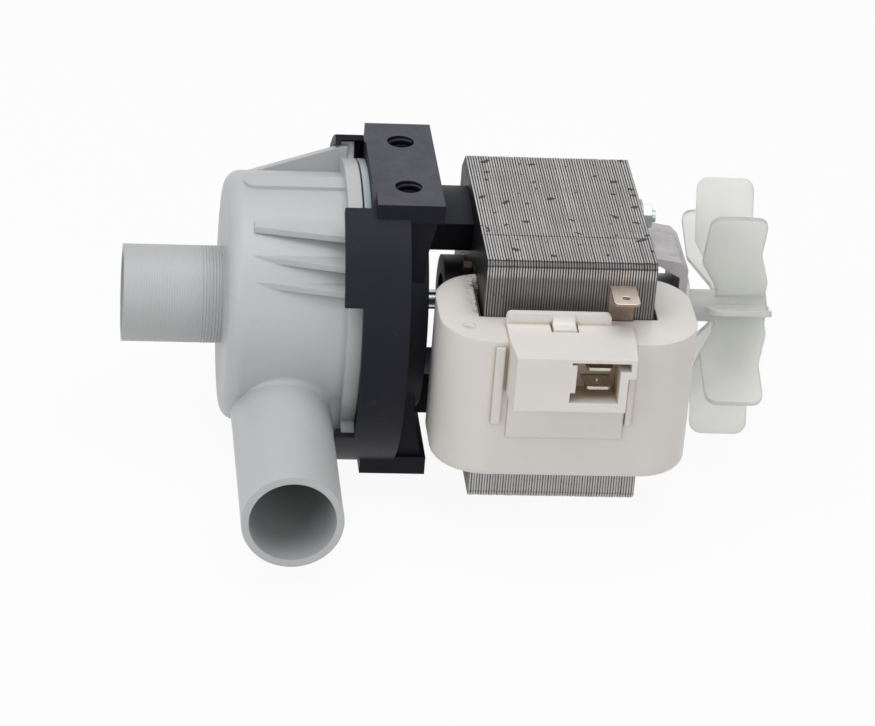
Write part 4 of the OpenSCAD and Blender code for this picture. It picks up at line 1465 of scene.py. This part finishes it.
@dataclass
class WetEnd:
    """The pump housing with its seal plate and seals.

    Attributes:
        edge_mm: The rounding of the housing's edges.
        plate_edge_mm: The rounding of the seal plate's edges.
        ring_count: How many fine rings the inlet has at its root.
        ring_start_mm: Where the first ring is.
        ring_pitch_mm: The distance between two rings.
        ring_radius_mm: The radius of the spigot.
        ring_wire_mm: The radius of a ring's section.
        body_mm: The radius of the body.
        outlet_mm: The radius of the outlet.
        outlet_axis_mm: The outlet's axis, along X and Z.
        fillet_mm: The radius of the fillet between the two.
        fillet_from: The angles round the outlet at which the fillet starts and is whole, in degrees from +X.
        fillet_to: The angles at which it starts to fade and ends.
    """

    edge_mm: float = 0.5
    plate_edge_mm: float = 0.25
    ring_count: int = 7
    ring_start_mm: float = 19.4
    ring_pitch_mm: float = 0.78
    ring_radius_mm: float = 11.97
    ring_wire_mm: float = 0.055
    body_mm: float = 30.8
    outlet_mm: float = 12.12
    outlet_axis_mm: tuple[float, float] = (38.85, -19.9)
    fillet_mm: float = 1.4
    fillet_from: tuple[float, float] = (-45.0, 0.0)
    fillet_to: tuple[float, float] = (92.0, 138.0)

    def build(self) -> None:
        """Make and dress the pieces."""
        Pieces.soften("pump_housing", "housing", Body.PUMP, HOUSING, self.edge_mm, 3)
        Pieces.soften("seal_plate", "seal_disc", Body.PUMP, SEAL_PLATE, self.plate_edge_mm)
        Pieces.place(self._rings(), Body.PUMP, HOUSING)
        Pieces.place(self._fillet(), Body.PUMP, HOUSING)
        Pieces.dress("housing_o_ring", RUBBER)
        Pieces.dress("shaft_seal", RUBBER)

    def _fillet(self) -> bpy.types.Object:
        """Fill the corner between the outlet and the body.

        Returns:
            The piece, a closed strip whose section is an arc, two tails under the surfaces and a corner.
        """
        steps = 60
        thinnest = 0.02
        first, whole = self.fillet_from
        fading, last = self.fillet_to
        rows = []
        for step in range(steps + 1):
            angle = first + (last - first) * step / steps
            grown = min(1.0, (angle - first) / (whole - first), (last - angle) / (last - fading))
            radius = self.fillet_mm * max(thinnest, math.sin(grown * math.pi / 2))
            rows.append([point * MM for point in self._fillet_section(math.radians(angle), radius)])
        return Pieces.band("outlet_fillet", rows, angle=60.0)

    def _fillet_section(self, angle: float, radius: float) -> list[Vector]:
        """Find the section of the fillet at an angle, with a ball that rolls along both surfaces.

        Args:
            angle: The angle round the outlet.
            radius: The radius of the ball.

        Returns:
            The points of the arc from the outlet to the body with its tails, and one inside the corner.
        """
        arc_steps = 8
        tail = 1.2
        tail_sink = 0.25
        sink = 1.3
        x, z = self.outlet_axis_mm
        way = Vector((math.cos(angle), 0.0, math.sin(angle)))
        ball = Vector((x, 0.0, z)) + way * (self.outlet_mm + radius)
        ball.y = -math.sqrt((self.body_mm + radius) ** 2 - ball.z ** 2)
        to_outlet = -way
        to_body = Vector((0.0, -ball.y, -ball.z)).normalized()
        arc = [ball + to_outlet.slerp(to_body, step / arc_steps) * radius for step in range(arc_steps + 1)]
        along_body = (to_outlet - to_body * to_outlet.dot(to_body)).normalized()
        first = arc[0] + Vector((0.0, -tail, 0.0)) + to_outlet * tail_sink
        last = arc[-1] - along_body * tail + to_body * tail_sink
        corner = Vector((x, 0.0, z)) + way * (self.outlet_mm - sink)
        corner.y = -math.sqrt((self.body_mm - sink) ** 2 - corner.z ** 2)
        return [first] + arc + [last, corner]

    def _rings(self) -> bpy.types.Object:
        """Set the fine rings round the root of the inlet.

        Returns:
            The piece.
        """
        growth = Growth("inlet_rings")
        count = growth.size("Count", "NodeSocketInt")
        start = growth.size("Start", "NodeSocketVector")
        pitch = growth.size("Pitch", "NodeSocketVector")
        radius = growth.size("Radius")
        wire = growth.size("Wire")
        sockets = {"Count": count, "Start Location": start, "Offset": pitch}
        line = growth.node("GeometryNodeMeshLine", {"mode": "OFFSET"}, sockets)
        path = growth.circle(sides=96, radius=radius)
        section = growth.circle(sides=8, radius=wire)
        sockets = {"Curve": path, "Profile Curve": section}
        ring = growth.node("GeometryNodeCurveToMesh", None, sockets)
        smooth = growth.node("GeometryNodeSetShadeSmooth", None, {"Geometry": ring.outputs[0]})
        copies = growth.copies(line.outputs[0], smooth.outputs[0], (0.0, math.pi / 2, 0.0))
        tree = growth.finish(copies, HOUSING)
        piece = Pieces.empty("inlet_rings")
        values = {
            "Count": self.ring_count,
            "Start": (self.ring_start_mm * MM, 0.0, 0.0),
            "Pitch": (self.ring_pitch_mm * MM, 0.0, 0.0),
            "Radius": self.ring_radius_mm * MM,
            "Wire": self.ring_wire_mm * MM,
        }
        Pieces.grown(piece, tree, values)
        return piece


@dataclass
class MotorBracket:
    """The black bracket, its screw holes and the front bearing.

    Attributes:
        edge_mm: The rounding of the bracket's edges.
        hole_x_mm: Where the screw holes are along the shaft.
        upper_mm: How far each upper hole is from the middle.
        lower_mm: How far each lower hole is from the middle.
        face_mm: The height of the mounting faces.
        core_mm: The radius of a screw hole.
        thread_mm: The radius of the moulded thread's section.
        thread_sink: The share of that radius by which the section's middle lies outside the hole.
        thread_pitch_mm: The distance between two turns of the thread.
        thread_turns: How many turns it has.
        thread_drop_mm: How far below the face it starts.
        thread_step: How much the thread of each hole is turned against the last one's, in radians.
    """

    edge_mm: float = 0.3
    hole_x_mm: float = 67.3
    upper_mm: float = 12.5
    lower_mm: float = 11.0
    face_mm: float = 37.0
    core_mm: float = 3.3
    thread_mm: float = 0.55
    thread_sink: float = 0.2
    thread_pitch_mm: float = 1.5
    thread_turns: float = 6.0
    thread_drop_mm: float = 1.0
    thread_step: float = 0.4

    def build(self) -> None:
        """Make and dress the pieces."""
        Pieces.soften("motor_bracket", "bracket", Body.PUMP, BRACKET, self.edge_mm)
        Pieces.place(self._threads(), Body.PUMP, BRACKET)
        Pieces.dress("front_bearing", BRONZE)
        Pieces.dress("front_felt_ring", FELT)
        Pieces.dress("front_bearing_clip", SPRING_STEEL)

    def _holes(self) -> bpy.types.Object:
        """Mark the mouth of each hole.

        Returns:
            A piece with one point for each, which holds how the thread there is turned.
        """
        piece = Pieces.empty("hole_threads")
        upper = [(self.hole_x_mm, side * self.upper_mm, self.face_mm) for side in (-1, 1)]
        lower = [(self.hole_x_mm, side * self.lower_mm, -self.face_mm) for side in (-1, 1)]
        points = [Vector(point) * MM for point in upper + lower]
        piece.data.from_pydata(points, [], [])
        turn = piece.data.attributes.new("turn", "FLOAT_VECTOR", "POINT")
        for index, point in enumerate(points):
            over = 0.0 if point.z > 0 else math.pi
            turn.data[index].vector = (over, 0.0, self.thread_step * index)
        return piece

    def _threads(self) -> bpy.types.Object:
        """Cut a moulded thread into each screw hole.

        Returns:
            The piece.
        """
        growth = Growth("hole_threads")
        turns = growth.size("Turns")
        radius = growth.size("Radius")
        height = growth.size("Height")
        depth = growth.size("Depth")
        drop = growth.size("Drop")
        sockets = {
            "Resolution": 28,
            "Rotations": turns,
            "Start Radius": radius,
            "End Radius": radius,
            "Height": height,
        }
        coil = growth.node("GeometryNodeCurveSpiral", None, sockets)
        section = growth.circle(sides=5, radius=depth)
        sockets = {"Curve": coil.outputs[0], "Profile Curve": section, "Fill Caps": True}
        thread = growth.node("GeometryNodeCurveToMesh", None, sockets)
        down = (0.0, 0.0, -1.0)
        lowered = growth.node("ShaderNodeVectorMath", {"operation": "SCALE"}, {0: down, "Scale": drop})
        sockets = {"Geometry": thread.outputs[0], "Translation": lowered.outputs[0]}
        sunk = growth.node("GeometryNodeTransform", None, sockets)
        turn = growth.node("GeometryNodeInputNamedAttribute", {"data_type": "FLOAT_VECTOR"}, {"Name": "turn"})
        copies = growth.copies(growth.source.outputs[0], sunk.outputs[0], turn.outputs[0])
        tree = growth.finish(copies, BRACKET)
        piece = self._holes()
        height_mm = self.thread_turns * self.thread_pitch_mm
        values = {
            "Turns": self.thread_turns,
            "Radius": (self.core_mm + self.thread_mm * self.thread_sink) * MM,
            "Height": height_mm * MM,
            "Depth": self.thread_mm * MM,
            "Drop": (height_mm + self.thread_drop_mm) * MM,
        }
        Pieces.grown(piece, tree, values)
        return piece


@dataclass(frozen=True)
class SheetStack:
    """One stack of steel sheets, cut to the outline of a solid's end face.

    Attributes:
        node: The solid.
        name: The piece's name.
        count: How many sheets there are.
        bright_share: The bright share of each sheet's edge; the rest is torn and lower.
        gap_share: The share of the pitch that is open between two sheets.
        torn_mm: How deep the torn part is.
        jitter_mm: How far the sheets are out of line.
        seed: The seed of their variation.
    """

    node: str
    name: str
    count: int = 63
    bright_share: float = 0.50
    gap_share: float = 0.10
    torn_mm: float = 0.14
    jitter_mm: float = 0.05
    seed: int = 0

    def build(self) -> bpy.types.Object:
        """Stack the sheets.

        Returns:
            The piece.
        """
        low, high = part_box(self.node)
        pitch = (high.x - low.x) / self.count
        piece = self._sheet(low.x, pitch)
        growth = Growth(self.name)
        count = growth.size("Count", "NodeSocketInt")
        step = growth.size("Step", "NodeSocketVector")
        jitter = growth.size("Jitter", "NodeSocketVector")
        seed = growth.size("Seed", "NodeSocketInt")
        line = growth.node("GeometryNodeMeshLine", {"mode": "OFFSET"}, {"Count": count, "Offset": step})
        copies = growth.copies(line.outputs[0], growth.source.outputs[0])
        back = growth.node("ShaderNodeVectorMath", {"operation": "SCALE"}, {0: jitter, "Scale": -1.0})
        sockets = {0: back.outputs[0], 1: jitter, "Seed": seed}
        away = growth.node("FunctionNodeRandomValue", {"data_type": "FLOAT_VECTOR"}, sockets)
        sockets = {"Instances": copies, "Translation": away.outputs[0]}
        moved = growth.node("GeometryNodeTranslateInstances", None, sockets)
        tint = growth.node("FunctionNodeRandomValue", {"data_type": "FLOAT"}, {2: 0.0, 3: 1.0, "Seed": seed})
        marked = growth.node(
            "GeometryNodeStoreNamedAttribute",
            {"data_type": "FLOAT", "domain": "INSTANCE"},
            {"Geometry": moved.outputs[0], "Name": "sheet_tint", "Value": tint.outputs[1]},
        )
        tree = growth.finish(marked.outputs[0], STACK_STEEL)
        values = {
            "Count": self.count,
            "Step": (pitch, 0.0, 0.0),
            "Jitter": (0.0, self.jitter_mm * MM, self.jitter_mm * MM),
            "Seed": self.seed,
        }
        Pieces.grown(piece, tree, values)
        return piece

    def _sheet(self, start: float, pitch: float) -> bpy.types.Object:
        """Cut the first sheet.

        Args:
            start: Where the stack starts along the shaft.
            pitch: The room that each sheet has.

        Returns:
            A piece with one sheet: a bright band, a torn band that slopes inwards, and two faces.
        """
        turned_away = -0.99
        end = start + 1e-5
        outline = Pieces.joined_mesh(self.node)
        extra = [
            face
            for face in outline.faces
            if face.normal.x > turned_away or face.calc_center_median().x > end
        ]
        bmesh.ops.delete(outline, geom=extra, context="FACES")
        bmesh.ops.triangulate(outline, faces=outline.faces)
        outline.verts.index_update()
        inward = self._inward(outline)
        count = len(outline.verts)
        stops = ((0.0, 0.0), (self.bright_share, 0.0), (1.0 - self.gap_share, self.torn_mm * MM))
        points = [
            vert.co + Vector((share * pitch, 0.0, 0.0)) + inward[vert.index] * depth
            for share, depth in stops
            for vert in outline.verts
        ]
        front = [[vert.index for vert in face.verts] for face in outline.faces]
        rear = [[index + 2 * count for index in reversed(face)] for face in front]
        walls = []
        for edge in outline.edges:
            if edge.is_boundary:
                loop = edge.link_loops[0]
                first = loop.vert.index
                second = loop.link_loop_next.vert.index
                for ring in (0, count):
                    walls.append([second + ring, first + ring, first + ring + count, second + ring + count])
        piece = Pieces.empty(self.name)
        piece.data.from_pydata(points, [], front + rear + walls)
        torn = piece.data.attributes.new("torn", "FLOAT", "FACE")
        flat = piece.data.attributes.new("flat", "FLOAT", "FACE")
        first_wall = len(front) + len(rear)
        for index in range(first_wall):
            flat.data[index].value = 1.0
        for index in range(len(walls)):
            torn.data[first_wall + index].value = float(index % 2)
        outline.free()
        return piece

    @staticmethod
    def _inward(outline: bmesh.types.BMesh) -> dict[int, Vector]:
        """Find the way into the sheet at each point of its outline.

        Args:
            outline: The flat sheet.

        Returns:
            A direction for each point; points away from the outline have none.
        """
        no_length = 1e-9
        ways = {vert.index: Vector() for vert in outline.verts}
        for edge in outline.edges:
            if edge.is_boundary:
                face = edge.link_faces[0]
                along = (edge.verts[1].co - edge.verts[0].co).normalized()
                way = along.cross(face.normal)
                middle = (edge.verts[0].co + edge.verts[1].co) / 2
                if way.dot(face.calc_center_median() - middle) < 0:
                    way.negate()
                for vert in edge.verts:
                    ways[vert.index] = ways[vert.index] + way
        return {index: way.normalized() if way.length > no_length else way for index, way in ways.items()}


@dataclass
class MotorStack:
    """The two steel stacks and the shading rings.

    Attributes:
        core: The stack round the rotor.
        leg: The stack that carries the coil.
    """

    core: SheetStack = SheetStack("stator_core", "stator_sheets", seed=3)
    leg: SheetStack = SheetStack("coil_core", "coil_core_sheets", seed=8)

    def build(self) -> None:
        """Make and dress the pieces."""
        for stack in (self.core, self.leg):
            Pieces.place(stack.build(), Body.PUMP, STACK_STEEL, stack.node)
        Pieces.dress("shading_rings", SHADED_COPPER)


@dataclass
class Coil:
    """The coil with its cover.

    Attributes:
        edge_mm: The rounding of the cover's edges.
        mark_mm: The middle of the round mark on its top, along X and Y.
        mark_radius_mm: The radius of the mark.
    """

    edge_mm: float = 0.6
    mark_mm: tuple[float, float] = (80.1, -46.8)
    mark_radius_mm: float = 1.6

    def build(self) -> None:
        """Make and dress the pieces."""
        Pieces.soften("coil_cover", "cover", Body.PUMP, COVER, self.edge_mm, 3)
        Pieces.place(self._mark(), Body.PUMP, COVER)
        Pieces.dress("coil_bobbin", BOBBIN)
        Pieces.dress("coil_winding", WIRE)

    def _mark(self) -> bpy.types.Object:
        """Make the shallow round mark that the mould left on the cover.

        Returns:
            The piece, a low ring round a lower middle.
        """
        steps = 48
        low, high, sink = 0.02, 0.08, -0.2
        outer = ((0.84, low), (0.92, high), (1.0, high), (1.06, low), (1.1, sink))
        profile = ((0.2, low), *outer, (0.2, sink))
        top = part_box("coil_cover")[1].z
        middle = Vector((self.mark_mm[0] * MM, self.mark_mm[1] * MM, top))
        rows = []
        for step in range(steps):
            angle = 2 * math.pi * step / steps
            way = Vector((math.cos(angle), math.sin(angle), 0.0)) * self.mark_radius_mm * MM
            rows.append([middle + way * out + Vector((0.0, 0.0, up * MM)) for out, up in profile])
        return Pieces.band("mould_mark", rows, ring=True)


@dataclass
class SupplyConnector:
    """The connector with its tabs, and the earth tab.

    Attributes:
        edge_mm: The rounding of the connector's edges.
        tab_edge_mm: The rounding of the tabs' edges.
        tip_mm: The rounding of the tabs' corners.
        lip_mm: The rounding of the back lip's corners.
        latch_low_mm: The lowest corner of the latch.
        latch_high_mm: Its highest corner.
        latch_rise_mm: How high its flat front stands.
        latch_wall_mm: How thick it is where it stands up against the lip.
        latch_edge_mm: The rounding of its edges.
    """

    edge_mm: float = 0.25
    tab_edge_mm: float = 0.15
    tip_mm: float = 1.2
    lip_mm: float = 1.2
    latch_low_mm: tuple[float, float, float] = (99.85, -50.5, 18.3)
    latch_high_mm: tuple[float, float, float] = (105.25, -46.3, 21.3)
    latch_rise_mm: float = 0.92
    latch_wall_mm: float = 0.4
    latch_edge_mm: float = 0.125

    def build(self) -> None:
        """Make and dress the pieces."""
        pump = Body.PUMP
        lip = self._lip_corners
        Pieces.soften("connector_housing", "connector", pump, CONNECTOR, self.edge_mm, shape=lip)
        Pieces.soften("supply_tabs", "supply_blades", pump, TIN, self.tab_edge_mm, shape=self._tips)
        Pieces.soften("earth_tab", "earth_blade", pump, EARTH_TIN, self.tab_edge_mm, shape=self._tips)
        Pieces.place(self._latch(), Body.PUMP, CONNECTOR)

    def _lip_corners(self, mesh: bmesh.types.BMesh) -> None:
        """Round the upper corners of the connector's back lip."""
        Pieces.round_corners(mesh, Vector((0.0, 0.0, 1.0)), self.lip_mm)

    def _tips(self, mesh: bmesh.types.BMesh) -> None:
        """Round the corners of a blade's front end."""
        Pieces.round_corners(mesh, Vector((0.0, -1.0, 0.0)), self.tip_mm)

    def _latch(self) -> bpy.types.Object:
        """Make the sprung tongue that holds the plug: flat in front and bent up against the lip.

        Returns:
            The piece.
        """
        low = Vector(self.latch_low_mm) * MM
        high = Vector(self.latch_high_mm) * MM
        top = low.z + self.latch_rise_mm * MM
        bend = (low.y + high.y) / 2
        wall = high.y - self.latch_wall_mm * MM
        steps = 6
        side = [(low.y, low.z), (low.y, top)]
        for step in range(steps + 1):
            turn = math.pi / 2 * step / steps
            side.append((bend + (wall - bend) * math.sin(turn), high.z + (top - high.z) * math.cos(turn)))
        side += [(high.y, high.z), (high.y, low.z)]
        rows = [[Vector((x, y, z)) for y, z in side] for x in (low.x, high.x)]
        piece = Pieces.band("latch_tongue", rows)
        mesh = bmesh.new()
        mesh.from_mesh(piece.data)
        corner = math.radians(40)
        sharp = [edge for edge in mesh.edges if edge.calc_face_angle() > corner]
        Pieces.bevel(mesh, sharp, self.latch_edge_mm, segments=2)
        mesh.to_mesh(piece.data)
        mesh.free()
        Pieces.smooth(piece.data)
        return piece


@dataclass
class RearEnd:
    """The rear bridge with its bearing, bolts and nuts.

    Attributes:
        edge_mm: The rounding of the bridge's edges.
        nut_edge_mm: The rounding of the nuts' edges.
    """

    edge_mm: float = 0.5
    nut_edge_mm: float = 0.25

    def build(self) -> None:
        """Make and dress the pieces."""
        Pieces.soften("rear_bridge", "bridge", Body.PUMP, CAST, self.edge_mm, 3)
        Pieces.soften("bolt_nuts", "nuts", Body.PUMP, ZINC, self.nut_edge_mm)
        Pieces.dress("through_bolts", ZINC)
        Pieces.dress("rear_bearing", BRONZE)
        Pieces.dress("rear_felt_ring", FELT)
        Pieces.dress("rear_bearing_clip", SPRING_STEEL)


@dataclass
class Rotor:
    """What turns: the shaft with its rotor, impeller and fan.

    Attributes:
        fan_edge_mm: The rounding of the fan's edges.
    """

    fan_edge_mm: float = 0.4

    def build(self) -> None:
        """Make and dress the pieces."""
        Pieces.soften("cooling_fan", "fan", Body.ROTOR, FAN, self.fan_edge_mm)
        Pieces.dress("impeller", IMPELLER)
        Pieces.dress("shaft", GROUND_STEEL)
        Pieces.dress("rotor_core", ROTOR_STEEL)
        Pieces.dress("rotor_cage", SHADED_CAGE)
        Pieces.dress("water_slinger", RUBBER)
        Pieces.dress("thrust_washers", WASHER)


def main() -> None:
    """Build the studio and the sub-assemblies in order."""
    logging.basicConfig(level=logging.INFO, format="%(message)s")
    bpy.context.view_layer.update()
    Studio().build()
    for part in (WetEnd(), MotorBracket(), MotorStack(), Coil(), SupplyConnector(), RearEnd(), Rotor()):
        part.build()


if __name__ == "__main__":
    main()
